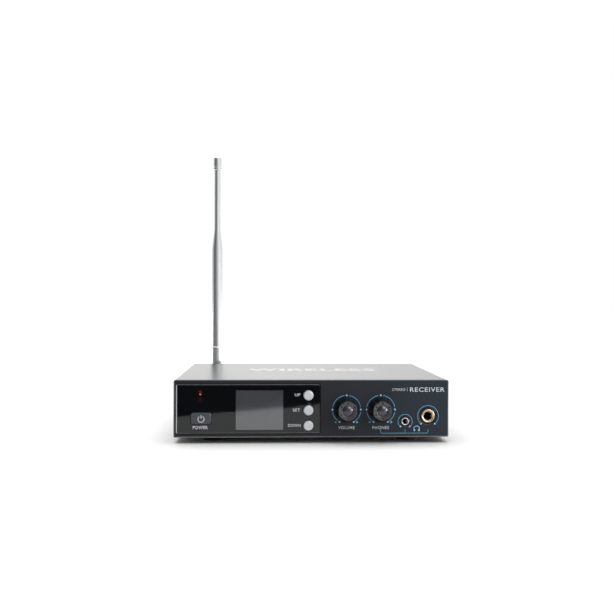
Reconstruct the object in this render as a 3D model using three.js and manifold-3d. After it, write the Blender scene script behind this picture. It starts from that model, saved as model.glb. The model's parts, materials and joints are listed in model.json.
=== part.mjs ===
// Half-rack wireless audio receiver with a folding antenna, as a scene of separate pieces.
// Millimetres. X runs to the right, Y from front to back and Z up.
// Pieces are drawn from the middle of the case front's lower edge, and the whole unit is then
// moved so that the origin is under its middle, on the surface that the feet stand on.

import * as THREE from 'three';
import { mergeVertices } from 'three/addons/utils/BufferGeometryUtils.js';
import Module from 'manifold-3d';

const wasm = await Module();
wasm.setup();

// Case
const caseWidth = 212;
const caseHeight = 44;
const caseDepth = 160;
const footHeight = 4.5;
const panelThickness = 4;
const panelCorner = 1.2;
const panelChamfer = 0.5;
const sheet = 1.2;
const gap = 0.3;
const bendRadius = 1.8;
const flangeHeight = 14;
const flangeFront = 8;
const vents = { count: 9, start: 56, pitch: 6, width: 2.4, bottom: 20, top: 34 };

// Display lens, set in a pocket of the front panel and a little proud of it
const lens = { x: -48.9, z: 22.05, width: 110.2, height: 37.5, corner: 1.3, front: -0.5, back: 1.5 };
const screen = { x: -40.3, z: 21.1, width: 36.2, height: 30.2 };
const screenFrame = { width: 46, height: 36 };
const led = { x: -85.5, z: 33.6, radius: 1.5 };

// Keys
const keyColumn = -2.8;
const keyRows = { up: 32.4, set: 20.8, down: 9.1 };
const keyRadius = 3.75;
const keyProud = 1.9;
const powerKey = { x: -84.8, z: 14.9, width: 15.6, height: 8.8, corner: 2 };
const keyFlange = 0.9;
const keyFlangeThickness = 0.8;
const stemRadius = 1.7;
const stemTip = 7.6;
const tactSwitch = { size: 6, front: 7.2, pocketEnd: 9.6 };

// Dials
const dialColumns = { volume: 26.7, phones: 53.1 };
const dialRow = 21.7;
const knob = { reach: 10.5, baseRadius: 9.5, faceRadius: 7.5, clearance: 0.8, cavityRadius: 6.6 };
const flutes = { count: 6, radius: 2, depth: 1 };
const pot = { width: 10, below: 6, above: 5.5, bushing: 3.5, reach: 3.2, boreEnd: 8 };
const shaft = { radius: 3, neck: 2.2, flat: 2.2, back: 7.7, tipInset: 1.8 };
const nut = { width: 10, front: -2 };

// Headphone sockets on the front
const smallJack = {
  x: 72.1, z: 12.05, bore: 1.8, sleeve: 2.9, panelHole: 4, width: 9, height: 7.4, depth: 11,
};
const largeJack = {
  x: 89.9, z: 16.2, bore: 3.2, sleeve: 5.3, panelHole: 6.6, width: 16, height: 15.6, depth: 26,
};
const sleeveLength = 7.5;

// Boards and what stands on them
const controlBoard = { left: -101, right: 63, bottom: 3.2, top: 41, front: 11 };
const mainBoard = { halfWidth: 98, front: 16, jackFront: 9, jackSide: 64, back: 150, bottom: 6.2 };
const boardThickness = 1.6;
const boardScrewFront = { x: 70, y: 30 };
const boardScrewRear = { x: 88, y: 136 };
const standoffRadius = 3;
const boardLink = { left: 8, right: 44, depth: 8, height: 5 };
const receiverCan = { left: -80, right: -22, front: 104, back: 144, height: 7 };
const chipHeight = 1.6;
const capacitor = { x: 70, y: 56, pitch: 16, count: 3, radius: 4, height: 11 };

// Rear sockets
const rearRow = 22;
const lineOutColumns = { left: 20, right: 46 };
const output = { half: 8, front: 134, nose: 5.6, nut: 7.6, nutThickness: 2.1, bore: 3.2, boreFront: 136 };
const inlet = {
  x: 82, front: 147, radius: 5.4, flange: 7, flangeThickness: 1.3, bore: 3.1, boreFront: 150, pin: 1,
};

// Feet and screws
const foot = { x: 76.5, inset: 21, topRadius: 9.25, baseRadius: 8.4, shelf: 2.2, pocket: 3.7 };
const footNut = { radius: 3.4, top: 4.2 };
const screw = { radius: 1.5, headRadius: 2.7, headHeight: 1.6, shank: 6, panelShank: 3 };
const screwHole = screw.radius + gap;
const sideScrewRow = 8;
const sideScrewInset = 20;
const rearScrew = { x: 92, z: 37.5 };
const coverTab = { half: 5, bottom: 32 };
const panelScrews = { left: -98, right: 62 };
const panelScrewRow = 4.5;
const panelScrewDepth = 1.7;
const panelTab = { half: 4, top: 8 };

// Antenna, measured back from the rear wall and up from the case's underside
const antenna = { x: -84.6, socketReach: 10.5, ringReach: 12.6, hingeReach: 20.8, tip: 245 };
const socket = {
  front: 146, body: 6.5, thread: 5, flange: 7.2, flangeEnd: 1.5, barrel: 4.8, bore: 3.5, pin: 0.8,
};
const lug = { radius: 0.9, reach: 5.6, inset: 3 };
const ring = { front: 2, inner: 6, outer: 7.3, lip: 3.6, lipThickness: 1.7 };
const plug = { front: 2.8, sleeve: 3.2, bore: 1.2 };
const hinge = { web: 6.2, tongue: 5.8, tongueRadius: 5.2, earRadius: 5.6, earWidth: 2.6, pinRadius: 1.5 };
const collar = { radius: 5.85, bottom: 6.9, top: 58.8 };
const spigot = { radius: 3.4, length: 7.4 };
const whip = { footRadius: 5.45, shoulderRadius: 5.1, shoulder: 154, neck: 174.7, radius: 3 };
const cap = { radius: 3.9, bottom: 232.6, cover: 8.2 };

const panelBack = panelThickness + gap;
const wallFront = caseDepth - sheet;
const trayHalfWidth = caseWidth / 2 - sheet - gap;
const boardTop = mainBoard.bottom + boardThickness;
const partsBottom = boardTop + gap;
const hingeY = caseDepth + antenna.hingeReach;
const overallFront = -knob.reach;
const overallRear = hingeY + collar.radius;

// Solids

function toSolid(geometry) {
  const bare = geometry.clone();
  bare.deleteAttribute('normal');
  bare.deleteAttribute('uv');
  const merged = mergeVertices(bare, 1e-4);
  const corners = merged.index.array;
  const kept = [];
  for (let i = 0; i < corners.length; i += 3) {
    const [a, b, c] = [corners[i], corners[i + 1], corners[i + 2]];
    if (a !== b && b !== c && c !== a) kept.push(a, b, c);
  }
  return new wasm.Manifold(new wasm.Mesh({
    numProp: 3,
    vertProperties: new Float32Array(merged.attributes.position.array),
    triVerts: new Uint32Array(kept),
  }));
}

function toGeometry(solid) {
  const mesh = solid.getMesh();
  const geometry = new THREE.BufferGeometry();
  geometry.setAttribute('position', new THREE.BufferAttribute(mesh.vertProperties, 3));
  geometry.setIndex(new THREE.BufferAttribute(mesh.triVerts, 1));
  return geometry;
}

function cut(geometry, tools) {
  let solid = toSolid(geometry);
  for (const tool of tools) solid = solid.subtract(toSolid(tool));
  return toGeometry(solid);
}

function join(geometry, additions) {
  let solid = toSolid(geometry);
  for (const addition of additions) solid = solid.add(toSolid(addition));
  return toGeometry(solid);
}

function block(x0, x1, y0, y1, z0, z1) {
  const box = new THREE.BoxGeometry(x1 - x0, y1 - y0, z1 - z0);
  return box.translate((x0 + x1) / 2, (y0 + y1) / 2, (z0 + z1) / 2);
}

// A round bar from y0 to y1, about the line through x and z
function rod(radius, y0, y1, x = 0, z = 0, sides = 16) {
  return new THREE.CylinderGeometry(radius, radius, y1 - y0, sides).translate(x, (y0 + y1) / 2, z);
}

function post(radius, z0, z1, x = 0, y = 0, sides = 12) {
  const bar = new THREE.CylinderGeometry(radius, radius, z1 - z0, sides).rotateX(Math.PI / 2);
  return bar.translate(x, y, (z0 + z1) / 2);
}

function crossBar(radius, x0, x1, y = 0, z = 0, sides = 12) {
  const bar = new THREE.CylinderGeometry(radius, radius, x1 - x0, sides).rotateZ(Math.PI / 2);
  return bar.translate((x0 + x1) / 2, y, z);
}

// Turns a profile of [radius, distance] pairs about the Y axis
function turn(profile, sides = 16) {
  const points = profile.map(([radius, along]) => new THREE.Vector2(radius, along));
  return new THREE.LatheGeometry(points, sides);
}

function turnUpright(profile, sides = 16) {
  return turn(profile, sides).rotateX(Math.PI / 2);
}

function roundedRectangle(width, height, corner, x = 0, z = 0) {
  const outline = new THREE.Shape();
  const right = x + width / 2 - corner;
  const left = x - width / 2 + corner;
  const top = z + height / 2 - corner;
  const bottom = z - height / 2 + corner;
  outline.absarc(right, bottom, corner, -Math.PI / 2, 0);
  outline.absarc(right, top, corner, 0, Math.PI / 2);
  outline.absarc(left, top, corner, Math.PI / 2, Math.PI);
  outline.absarc(left, bottom, corner, Math.PI, 1.5 * Math.PI);
  outline.closePath();
  return outline;
}

// Extrudes an outline drawn in X and Z from y0 back to y1
function slab(outline, y0, y1, bevel = 0, curveSegments = 3) {
  const geometry = new THREE.ExtrudeGeometry(outline, {
    depth: y1 - y0 - 2 * bevel,
    bevelEnabled: bevel > 0,
    bevelThickness: bevel,
    bevelSize: bevel,
    bevelOffset: -bevel,
    bevelSegments: 1,
    curveSegments,
  });
  return geometry.rotateX(Math.PI / 2).translate(0, y1 - bevel, 0);
}

// The finished unit

const group = new THREE.Group();
const unit = new THREE.Group();
unit.position.set(0, -(overallFront + overallRear) / 2, footHeight);
group.add(unit);

function add(name, geometry, { color, roughness, metalness = 0 }, x = 0, y = 0, z = 0) {
  const material = new THREE.MeshStandardMaterial({ color, roughness, metalness });
  const mesh = new THREE.Mesh(geometry, material);
  mesh.name = name;
  mesh.position.set(x, y, z);
  unit.add(mesh);
  return mesh;
}

const darkPanel = { color: 0x2f3236, roughness: 0.55, metalness: 0.3 };
const darkPaint = { color: 0x2a2a28, roughness: 0.35, metalness: 0.2 };
const gloss = { color: 0x0a0c0e, roughness: 0.08 };
const screenGrey = { color: 0x5c6164, roughness: 0.3 };
const keySilver = { color: 0xc4c8cc, roughness: 0.35, metalness: 0.4 };
const keyDark = { color: 0x43474b, roughness: 0.4 };
const knobGrey = { color: 0x55585c, roughness: 0.35, metalness: 0.3 };
const rubber = { color: 0x121212, roughness: 0.85 };
const steel = { color: 0x9a9da0, roughness: 0.35, metalness: 0.9 };
const blackSteel = { color: 0x1b1b1c, roughness: 0.4, metalness: 0.7 };
const brass = { color: 0xd8b978, roughness: 0.25, metalness: 1 };
const nickel = { color: 0xc9c9c6, roughness: 0.25, metalness: 1 };
const blackPlastic = { color: 0x141415, roughness: 0.5 };
const boardGreen = { color: 0x1f4a33, roughness: 0.5 };
const ledRed = { color: 0x7a1512, roughness: 0.3 };
const antennaBlack = { color: 0x1d1d1d, roughness: 0.38 };

// Case

function frontPanel() {
  const plate = slab(
    roundedRectangle(caseWidth, caseHeight, panelCorner, 0, caseHeight / 2), 0, panelThickness, panelChamfer);
  const through = panelThickness + 1;
  const pocket = roundedRectangle(
    lens.width + 2 * gap, lens.height + 2 * gap, lens.corner + gap, lens.x, lens.z);
  const window = roundedRectangle(screen.width + 1.4, screen.height + 1.4, 1, screen.x, screen.z);
  const powerHole = roundedRectangle(
    powerKey.width + 2 * gap, powerKey.height + 2 * gap, powerKey.corner + gap, powerKey.x, powerKey.z);
  const tools = [
    slab(pocket, -1, lens.back + gap),
    slab(window, 0, through),
    slab(powerHole, 0, through),
    rod(led.radius + 0.4, 0, through, led.x, led.z),
    rod(smallJack.panelHole, -1, through, smallJack.x, smallJack.z),
    rod(largeJack.panelHole, -1, through, largeJack.x, largeJack.z, 24),
  ];
  for (const z of Object.values(keyRows)) tools.push(rod(keyRadius + gap, 0, through, keyColumn, z));
  for (const x of Object.values(dialColumns)) tools.push(rod(pot.bushing + gap, -1, through, x, dialRow));
  for (const x of Object.values(panelScrews)) {
    tools.push(rod(screwHole, panelThickness - panelScrewDepth, through, x, panelScrewRow));
  }
  return cut(plate, tools);
}

function displayLens() {
  const sheetOutline = roundedRectangle(lens.width, lens.height, lens.corner, lens.x, lens.z);
  const powerHole = roundedRectangle(
    powerKey.width + 2 * gap, powerKey.height + 2 * gap, powerKey.corner + gap, powerKey.x, powerKey.z);
  const tools = [slab(powerHole, lens.front - 1, lens.back + 1)];
  for (const z of Object.values(keyRows)) {
    tools.push(rod(keyRadius + gap, lens.front - 1, lens.back + 1, keyColumn, z));
  }
  return cut(slab(sheetOutline, lens.front, lens.back), tools);
}

// Floor, rear wall, side flanges and front tabs, with pressed-in standoffs and foot nuts
function chassisTray() {
  const wallTop = caseHeight - sheet - gap;
  const additions = [block(-trayHalfWidth, trayHalfWidth, wallFront, caseDepth, 0, wallTop)];
  const tools = [];
  const sideScrewRows = [sideScrewInset, caseDepth - sideScrewInset];
  for (const side of [-1, 1]) {
    const outer = side * trayHalfWidth;
    const inner = side * (trayHalfWidth - sheet);
    const [low, high] = [Math.min(outer, inner), Math.max(outer, inner)];
    additions.push(block(low, high, flangeFront, caseDepth - sheet / 2, 0, flangeHeight));
    for (const y of sideScrewRows) tools.push(crossBar(screwHole, inner - 2, inner + 2, y, sideScrewRow));
    tools.push(rod(screwHole, wallFront - 1, caseDepth + 1, side * rearScrew.x, rearScrew.z, 16));
    for (const { x, y } of [boardScrewFront, boardScrewRear]) {
      additions.push(post(standoffRadius, sheet / 2, mainBoard.bottom - gap, side * x, y));
      tools.push(post(screwHole, -1, mainBoard.bottom, side * x, y));
    }
    for (const y of [foot.inset, caseDepth - foot.inset]) {
      additions.push(post(footNut.radius, sheet / 2, footNut.top, side * foot.x, y));
      tools.push(post(screwHole, -1, footNut.top + 1, side * foot.x, y));
    }
  }
  for (const x of Object.values(panelScrews)) {
    const { half, top } = panelTab;
    additions.push(block(x - half, x + half, panelBack, panelBack + sheet, 0, top));
    tools.push(rod(screwHole, panelThickness, panelBack + 2, x, panelScrewRow, 12));
  }
  tools.push(rod(socket.thread + gap, wallFront - 1, caseDepth + 1, antenna.x, rearRow));
  tools.push(rod(inlet.radius + gap, wallFront - 1, caseDepth + 1, inlet.x, rearRow));
  for (const x of Object.values(lineOutColumns)) {
    tools.push(rod(output.nose + gap, wallFront - 1, caseDepth + 1, x, rearRow));
  }
  const floor = block(-trayHalfWidth, trayHalfWidth, panelBack, caseDepth, 0, sheet);
  return cut(join(floor, additions), tools);
}

// Top and side walls, bent from one sheet, with a row of vent slots in each side
function topCover() {
  const half = caseWidth / 2;
  const innerBend = bendRadius - sheet;
  const outline = new THREE.Shape();
  outline.moveTo(half, 0);
  outline.lineTo(half, caseHeight - bendRadius);
  outline.absarc(half - bendRadius, caseHeight - bendRadius, bendRadius, 0, Math.PI / 2);
  outline.absarc(bendRadius - half, caseHeight - bendRadius, bendRadius, Math.PI / 2, Math.PI);
  outline.lineTo(-half, 0);
  outline.lineTo(sheet - half, 0);
  outline.absarc(bendRadius - half, caseHeight - bendRadius, innerBend, Math.PI, Math.PI / 2, true);
  outline.absarc(half - bendRadius, caseHeight - bendRadius, innerBend, Math.PI / 2, 0, true);
  outline.lineTo(half - sheet, 0);
  outline.closePath();

  const additions = [];
  const tools = [];
  for (const side of [-1, 1]) {
    const x = side * rearScrew.x;
    const { half: tabHalf, bottom } = coverTab;
    const tabBack = wallFront - gap;
    const tabTop = caseHeight - sheet / 2;
    additions.push(block(x - tabHalf, x + tabHalf, tabBack - sheet, tabBack, bottom, tabTop));
    tools.push(rod(screwHole, wallFront - 4, wallFront + 1, x, rearScrew.z, 12));
    for (const y of [sideScrewInset, caseDepth - sideScrewInset]) {
      tools.push(crossBar(screwHole, side * half - 3, side * half + 3, y, sideScrewRow));
    }
    for (let slot = 0; slot < vents.count; slot += 1) {
      const y = vents.start + slot * vents.pitch;
      tools.push(block(side * half - 3, side * half + 3, y, y + vents.width, vents.bottom, vents.top));
    }
  }
  return cut(join(slab(outline, panelBack, caseDepth), additions), tools);
}

// A round rubber foot, hollowed under its middle for the screw head
function rubberFoot() {
  return turnUpright([
    [screwHole, -footHeight + foot.shelf],
    [foot.pocket, -footHeight + foot.shelf],
    [foot.pocket, -footHeight],
    [foot.baseRadius - 0.6, -footHeight],
    [foot.baseRadius, -footHeight + 0.6],
    [foot.topRadius, -gap],
    [screwHole, -gap],
    [screwHole, -footHeight + foot.shelf],
  ]);
}

// A pan-head screw with its head at low Y and its shank running to higher Y
function screwShape(shank) {
  return turn([
    [0, -screw.headHeight],
    [screw.headRadius - 0.5, -screw.headHeight],
    [screw.headRadius, 0],
    [screw.radius, 0],
    [screw.radius, shank],
    [0, shank],
  ], 10);
}

add('front_panel', frontPanel(), darkPanel);
add('display_lens', displayLens(), gloss);
add('chassis_tray', chassisTray(), darkPaint);
add('top_cover', topCover(), darkPaint);

const sides = { left: -1, right: 1 };
for (const [sideName, side] of Object.entries(sides)) {
  const rows = { front: foot.inset, rear: caseDepth - foot.inset };
  for (const [rowName, y] of Object.entries(rows)) {
    add(`foot_${rowName}_${sideName}`, rubberFoot(), rubber, side * foot.x, y, 0);
    const footScrew = screwShape(screw.shank).rotateX(Math.PI / 2);
    const shelfZ = foot.shelf - footHeight - gap;
    add(`foot_screw_${rowName}_${sideName}`, footScrew, steel, side * foot.x, y, shelfZ);
  }
  const coverRows = { front: sideScrewInset, rear: caseDepth - sideScrewInset };
  for (const [rowName, y] of Object.entries(coverRows)) {
    const coverScrew = screwShape(screw.shank).rotateZ(side * Math.PI / 2);
    const x = side * (caseWidth / 2 + gap);
    add(`cover_screw_${rowName}_${sideName}`, coverScrew, blackSteel, x, y, sideScrewRow);
  }
  const rearShape = screwShape(screw.shank).rotateX(Math.PI);
  add(`rear_screw_${sideName}`, rearShape, blackSteel, side * rearScrew.x, caseDepth + gap, rearScrew.z);
  const panelShape = screwShape(screw.panelShank).rotateX(Math.PI);
  const panelScrewY = panelBack + sheet + gap;
  add(`panel_screw_${sideName}`, panelShape, steel, panelScrews[sideName], panelScrewY, panelScrewRow);
}

// Display, keys and dials

function displayModule() {
  const frame = roundedRectangle(screenFrame.width, screenFrame.height, 0.8, screen.x, screen.z);
  const glass = roundedRectangle(screen.width + 0.6, screen.height + 0.6, 0.6, screen.x, screen.z);
  return join(
    slab(frame, panelBack, controlBoard.front - gap),
    [slab(glass, lens.back + gap + 0.05, panelBack + 0.5)]);
}

function ledShape() {
  const tip = lens.back + gap + 0.1;
  return turn([
    [0, tip],
    [led.radius * 0.6, tip + 0.2],
    [led.radius * 0.9, tip + 0.7],
    [led.radius, tip + 1.4],
    [led.radius, 7.5],
    [led.radius + 0.4, 7.5],
    [led.radius + 0.4, controlBoard.front - gap],
    [0, controlBoard.front - gap],
  ], 12);
}

function roundKey() {
  return turn([
    [0, -keyProud],
    [keyRadius - 0.7, -keyProud],
    [keyRadius, -keyProud + 0.7],
    [keyRadius, panelBack],
    [keyRadius + keyFlange, panelBack],
    [keyRadius + keyFlange, panelBack + keyFlangeThickness],
    [stemRadius, panelBack + keyFlangeThickness],
    [stemRadius, stemTip],
    [0, stemTip],
  ]);
}

function powerKeyShape() {
  const { width, height, corner } = powerKey;
  const capOutline = roundedRectangle(width, height, corner);
  const flangeOutline = roundedRectangle(width + 2 * keyFlange, height + 2 * keyFlange, corner);
  return join(slab(capOutline, -keyProud, panelBack + 0.4, 0.4), [
    slab(flangeOutline, panelBack, panelBack + keyFlangeThickness),
    rod(stemRadius, panelBack + 0.4, stemTip),
  ]);
}

// A tactile switch with a pocket for the stem that presses it
function switchShape() {
  const half = tactSwitch.size / 2;
  const body = block(-half, half, tactSwitch.front, controlBoard.front - gap, -half, half);
  return cut(body, [rod(stemRadius + gap, tactSwitch.front - 1, tactSwitch.pocketEnd)]);
}

add('display_module', displayModule(), screenGrey);
add('power_led', ledShape(), ledRed, led.x, 0, led.z);
add('power_key', powerKeyShape(), keyDark, powerKey.x, 0, powerKey.z);
add('power_switch', switchShape(), blackPlastic, powerKey.x, 0, powerKey.z);
for (const [keyName, z] of Object.entries(keyRows)) {
  add(`${keyName}_key`, roundKey(), keySilver, keyColumn, 0, z);
  add(`${keyName}_switch`, switchShape(), blackPlastic, keyColumn, 0, z);
}

// A tapered knob with flutes down its side, a dished face and a cavity that hides the nut
function knobShape() {
  const { reach, baseRadius, faceRadius, clearance, cavityRadius } = knob;
  const cavityFloor = -pot.reach - 2 * gap;
  const boreEnd = shaft.tipInset - gap - reach;
  const body = turn([
    [0, -reach],
    [2.5, -reach + 0.2],
    [3.9, -reach + 0.7],
    [4.2, -reach + 0.3],
    [faceRadius - 0.6, -reach + 0.3],
    [faceRadius, -reach + 0.8],
    [baseRadius - 0.2, -2.2],
    [baseRadius, -clearance],
    [cavityRadius, -clearance],
    [cavityRadius, cavityFloor],
    [0, cavityFloor],
  ], 30);
  const slope = Math.atan((baseRadius - faceRadius) / (reach - clearance));
  const tools = [];
  for (let flute = 0; flute < flutes.count; flute += 1) {
    const groove = rod(flutes.radius, -reach - 4, 4, 0, 0, 10);
    groove.translate(0, reach / 2, 0).rotateX(slope).translate(0, -reach / 2, 0);
    groove.translate(0, 0, (baseRadius + faceRadius) / 2 + flutes.radius - flutes.depth);
    groove.rotateY((flute + 0.5) * 2 * Math.PI / flutes.count);
    tools.push(groove);
  }
  const boreRadius = shaft.radius + gap;
  const flatTop = shaft.flat + gap;
  const bore = cut(
    rod(boreRadius, boreEnd, cavityFloor + 0.5),
    [block(-boreRadius - 1, boreRadius + 1, boreEnd - 1, cavityFloor + 1, flatTop, boreRadius + 1)]);
  tools.push(bore);
  return cut(body, tools);
}

// The dial's shaft: a neck in the bushing and a thicker end with a flat for the knob
function shaftShape() {
  const { radius, neck, flat, back, tipInset } = shaft;
  const shoulder = -pot.reach - gap;
  const tip = tipInset - knob.reach;
  const bar = turn([
    [0, tip],
    [radius, tip],
    [radius, shoulder],
    [neck, shoulder],
    [neck, back],
    [0, back],
  ]);
  return cut(bar, [block(-radius - 1, radius + 1, tip - 1, shoulder, flat, radius + 1)]);
}

function potentiometer() {
  const half = pot.width / 2;
  const body = block(-half, half, panelBack, controlBoard.front - gap, -pot.below, pot.above);
  const threaded = rod(pot.bushing, -pot.reach, panelBack + 0.5);
  return cut(join(body, [threaded]), [rod(shaft.neck + gap, -pot.reach - 1, pot.boreEnd)]);
}

function hexNut() {
  const corners = [];
  const cornerRadius = nut.width / 2 / Math.cos(Math.PI / 6);
  for (let side = 0; side < 6; side += 1) {
    const angle = side * Math.PI / 3;
    corners.push(new THREE.Vector2(cornerRadius * Math.cos(angle), cornerRadius * Math.sin(angle)));
  }
  const blank = slab(new THREE.Shape(corners), nut.front, -gap);
  return cut(blank, [rod(pot.bushing + gap, nut.front - 1, 1)]);
}

for (const [dialName, x] of Object.entries(dialColumns)) {
  add(`${dialName}_knob`, knobShape(), knobGrey, x, 0, dialRow);
  add(`${dialName}_shaft`, shaftShape(), steel, x, 0, dialRow);
  add(`${dialName}_pot`, potentiometer(), blackPlastic, x, 0, dialRow);
  add(`${dialName}_pot_nut`, hexNut(), steel, x, 0, dialRow);
}

// Sockets

function jackBody({ bore, sleeve, width, height, depth }) {
  const back = panelBack + depth;
  const body = block(-width / 2, width / 2, panelBack, back, -height / 2, height / 2);
  return cut(body, [
    rod(sleeve + gap, 0, sleeveLength + gap),
    rod(bore, 0, back - 1.5),
  ]);
}

function jackSleeve({ bore, sleeve }) {
  return turn([
    [bore, 0.4],
    [bore + 0.5, -0.1],
    [sleeve - 0.3, -0.1],
    [sleeve, 0.2],
    [sleeve, sleeveLength],
    [bore, sleeveLength],
    [bore, 0.4],
  ], 20);
}

// A rear output: the socket's body inside, its threaded nose and round nut outside
function lineOut() {
  const { half, nutThickness, bore, boreFront } = output;
  const body = block(-half, half, output.front, wallFront - gap, -half, half);
  const nutFront = caseDepth + gap;
  const nose = turn([
    [0, wallFront - 2],
    [output.nose, wallFront - 2],
    [output.nose, nutFront],
    [output.nut, nutFront],
    [output.nut, nutFront + nutThickness],
    [0, nutFront + nutThickness],
  ]);
  return cut(join(body, [nose]), [rod(bore, boreFront, nutFront + nutThickness + 1)]);
}

function powerInlet() {
  const rimFront = caseDepth + gap;
  const rimBack = rimFront + inlet.flangeThickness;
  return turn([
    [0, inlet.front],
    [inlet.radius, inlet.front],
    [inlet.radius, rimFront],
    [inlet.flange, rimFront],
    [inlet.flange, rimBack],
    [inlet.bore, rimBack],
    [inlet.bore, inlet.boreFront],
    [inlet.pin, inlet.boreFront],
    [inlet.pin, caseDepth],
    [0, caseDepth],
  ]);
}

add('small_jack_body', jackBody(smallJack), blackPlastic, smallJack.x, 0, smallJack.z);
add('small_jack_sleeve', jackSleeve(smallJack), nickel, smallJack.x, 0, smallJack.z);
add('large_jack_body', jackBody(largeJack), blackPlastic, largeJack.x, 0, largeJack.z);
add('large_jack_sleeve', jackSleeve(largeJack), brass, largeJack.x, 0, largeJack.z);
for (const [outName, x] of Object.entries(lineOutColumns)) {
  add(`line_out_${outName}`, lineOut(), blackPlastic, x, 0, rearRow);
}
add('power_inlet', powerInlet(), blackPlastic, inlet.x, 0, rearRow);

// Boards

function mainBoardShape() {
  const { halfWidth, front, jackFront, jackSide, back, bottom } = mainBoard;
  const base = boardTop - boardThickness / 2;
  const additions = [
    block(jackSide, halfWidth, jackFront, front + 1, bottom, boardTop),
    block(-12, 12, 60, 84, base, boardTop + chipHeight),
    block(34, 48, 66, 80, base, boardTop + chipHeight),
    block(-52, -34, 50, 60, base, boardTop + 1.5 * chipHeight),
  ];
  const { x: column, y: firstRow, pitch, count, radius, height } = capacitor;
  for (let row = 0; row < count; row += 1) {
    additions.push(post(radius, base, boardTop + height, column, firstRow + row * pitch));
  }
  const tools = [];
  for (const side of [-1, 1]) {
    for (const { x, y } of [boardScrewFront, boardScrewRear]) {
      tools.push(post(screwHole, bottom - 1, boardTop + 1, side * x, y));
    }
  }
  return cut(join(block(-halfWidth, halfWidth, front, back, bottom, boardTop), additions), tools);
}

function controlBoardShape() {
  const { left, right, bottom, top, front } = controlBoard;
  return block(left, right, front, front + boardThickness, bottom, top);
}

function boardLinkShape() {
  const { left, right, depth, height } = boardLink;
  const front = controlBoard.front + boardThickness + gap;
  return block(left, right, front, front + depth, partsBottom, partsBottom + height);
}

function receiverCanShape() {
  const { left, right, front, back, height } = receiverCan;
  return block(left, right, front, back, partsBottom, partsBottom + height);
}

add('main_board', mainBoardShape(), boardGreen);
add('control_board', controlBoardShape(), boardGreen);
add('board_link', boardLinkShape(), blackPlastic);
add('receiver_module', receiverCanShape(), nickel);
for (const [sideName, side] of Object.entries(sides)) {
  const places = { front: boardScrewFront, rear: boardScrewRear };
  for (const [rowName, { x, y }] of Object.entries(places)) {
    const boardScrew = screwShape(screw.shank).rotateX(-Math.PI / 2);
    add(`board_screw_${rowName}_${sideName}`, boardScrew, steel, side * x, y, partsBottom);
  }
}

// Antenna

// A bayonet socket through the rear wall, with its centre contact and two lugs
function antennaSocket() {
  const { front, body, thread, flange, flangeEnd, barrel, bore, pin } = socket;
  const barrelEnd = caseDepth + antenna.socketReach;
  const boreFront = caseDepth + ring.front;
  const shell = turn([
    [0, front],
    [body, front],
    [body, wallFront - gap],
    [thread, wallFront - gap],
    [thread, caseDepth + gap],
    [flange, caseDepth + gap],
    [flange, caseDepth + flangeEnd],
    [barrel, caseDepth + flangeEnd],
    [barrel, barrelEnd],
    [bore, barrelEnd],
    [bore, boreFront],
    [pin, boreFront],
    [pin, barrelEnd - 2],
    [0, barrelEnd - 2],
  ]);
  const wallMiddle = (barrel + bore) / 2;
  return join(shell, [
    post(lug.radius, wallMiddle, lug.reach, 0, barrelEnd - lug.inset, 10),
    post(lug.radius, -lug.reach, -wallMiddle, 0, barrelEnd - lug.inset, 10),
  ]);
}

function lockRing() {
  const { inner, outer, lip, lipThickness } = ring;
  const ringFront = caseDepth + ring.front;
  const ringBack = caseDepth + antenna.ringReach;
  return turn([
    [inner, ringFront],
    [outer, ringFront],
    [outer, ringBack],
    [lip, ringBack],
    [lip, ringBack - lipThickness],
    [inner, ringBack - lipThickness],
    [inner, ringFront],
  ], 20);
}

// The plug's sleeve, a round web and two ears that carry the hinge pin
function antennaBase() {
  const webFront = caseDepth + antenna.ringReach + gap;
  const webBack = hingeY - hinge.tongueRadius - 0.4;
  const boreEnd = caseDepth + antenna.socketReach - 1;
  const tube = turn([
    [0, boreEnd],
    [plug.bore, boreEnd],
    [plug.bore, caseDepth + plug.front],
    [plug.sleeve, caseDepth + plug.front],
    [plug.sleeve, webFront + 0.5],
    [0, webFront + 0.5],
  ]);
  const ears = [rod(hinge.web, webFront, webBack)];
  const tools = [crossBar(hinge.pinRadius + gap, -8, 8, hingeY, 0)];
  for (const side of [-1, 1]) {
    const inner = side * (hinge.tongue / 2 + gap);
    const outer = inner + side * hinge.earWidth;
    const [low, high] = [Math.min(inner, outer), Math.max(inner, outer)];
    ears.push(crossBar(hinge.earRadius, low, high, hingeY, 0, 16));
    ears.push(block(low, high, webBack - 1, hingeY, -hinge.earRadius + 0.6, hinge.earRadius - 0.6));
  }
  return cut(join(tube, ears), tools);
}

// The collar that the antenna is seated in, and the tongue between the base's ears
function antennaKnuckle() {
  const column = turnUpright([
    [0, collar.bottom],
    [collar.radius - 0.5, collar.bottom],
    [collar.radius, collar.bottom + 0.5],
    [collar.radius, collar.top - rearRow],
    [spigot.radius + gap, collar.top - rearRow],
    [spigot.radius + gap, collar.top - rearRow - spigot.length - gap],
    [0, collar.top - rearRow - spigot.length - gap],
  ]);
  const half = hinge.tongue / 2;
  const tongue = [
    crossBar(hinge.tongueRadius, -half, half, 0, 0, 16),
    block(-half, half, -4.4, 4.4, 0, collar.bottom + 1),
  ];
  return cut(join(column, tongue), [crossBar(hinge.pinRadius + gap, -8, 8)]);
}

function antennaSleeve() {
  const seat = collar.top + gap;
  return turnUpright([
    [0, collar.top - spigot.length],
    [spigot.radius, collar.top - spigot.length],
    [spigot.radius, seat],
    [whip.footRadius, seat],
    [whip.shoulderRadius, whip.shoulder],
    [whip.radius, whip.neck],
    [whip.radius, cap.bottom + cap.cover - gap],
    [0, cap.bottom + cap.cover - gap],
  ]);
}

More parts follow.
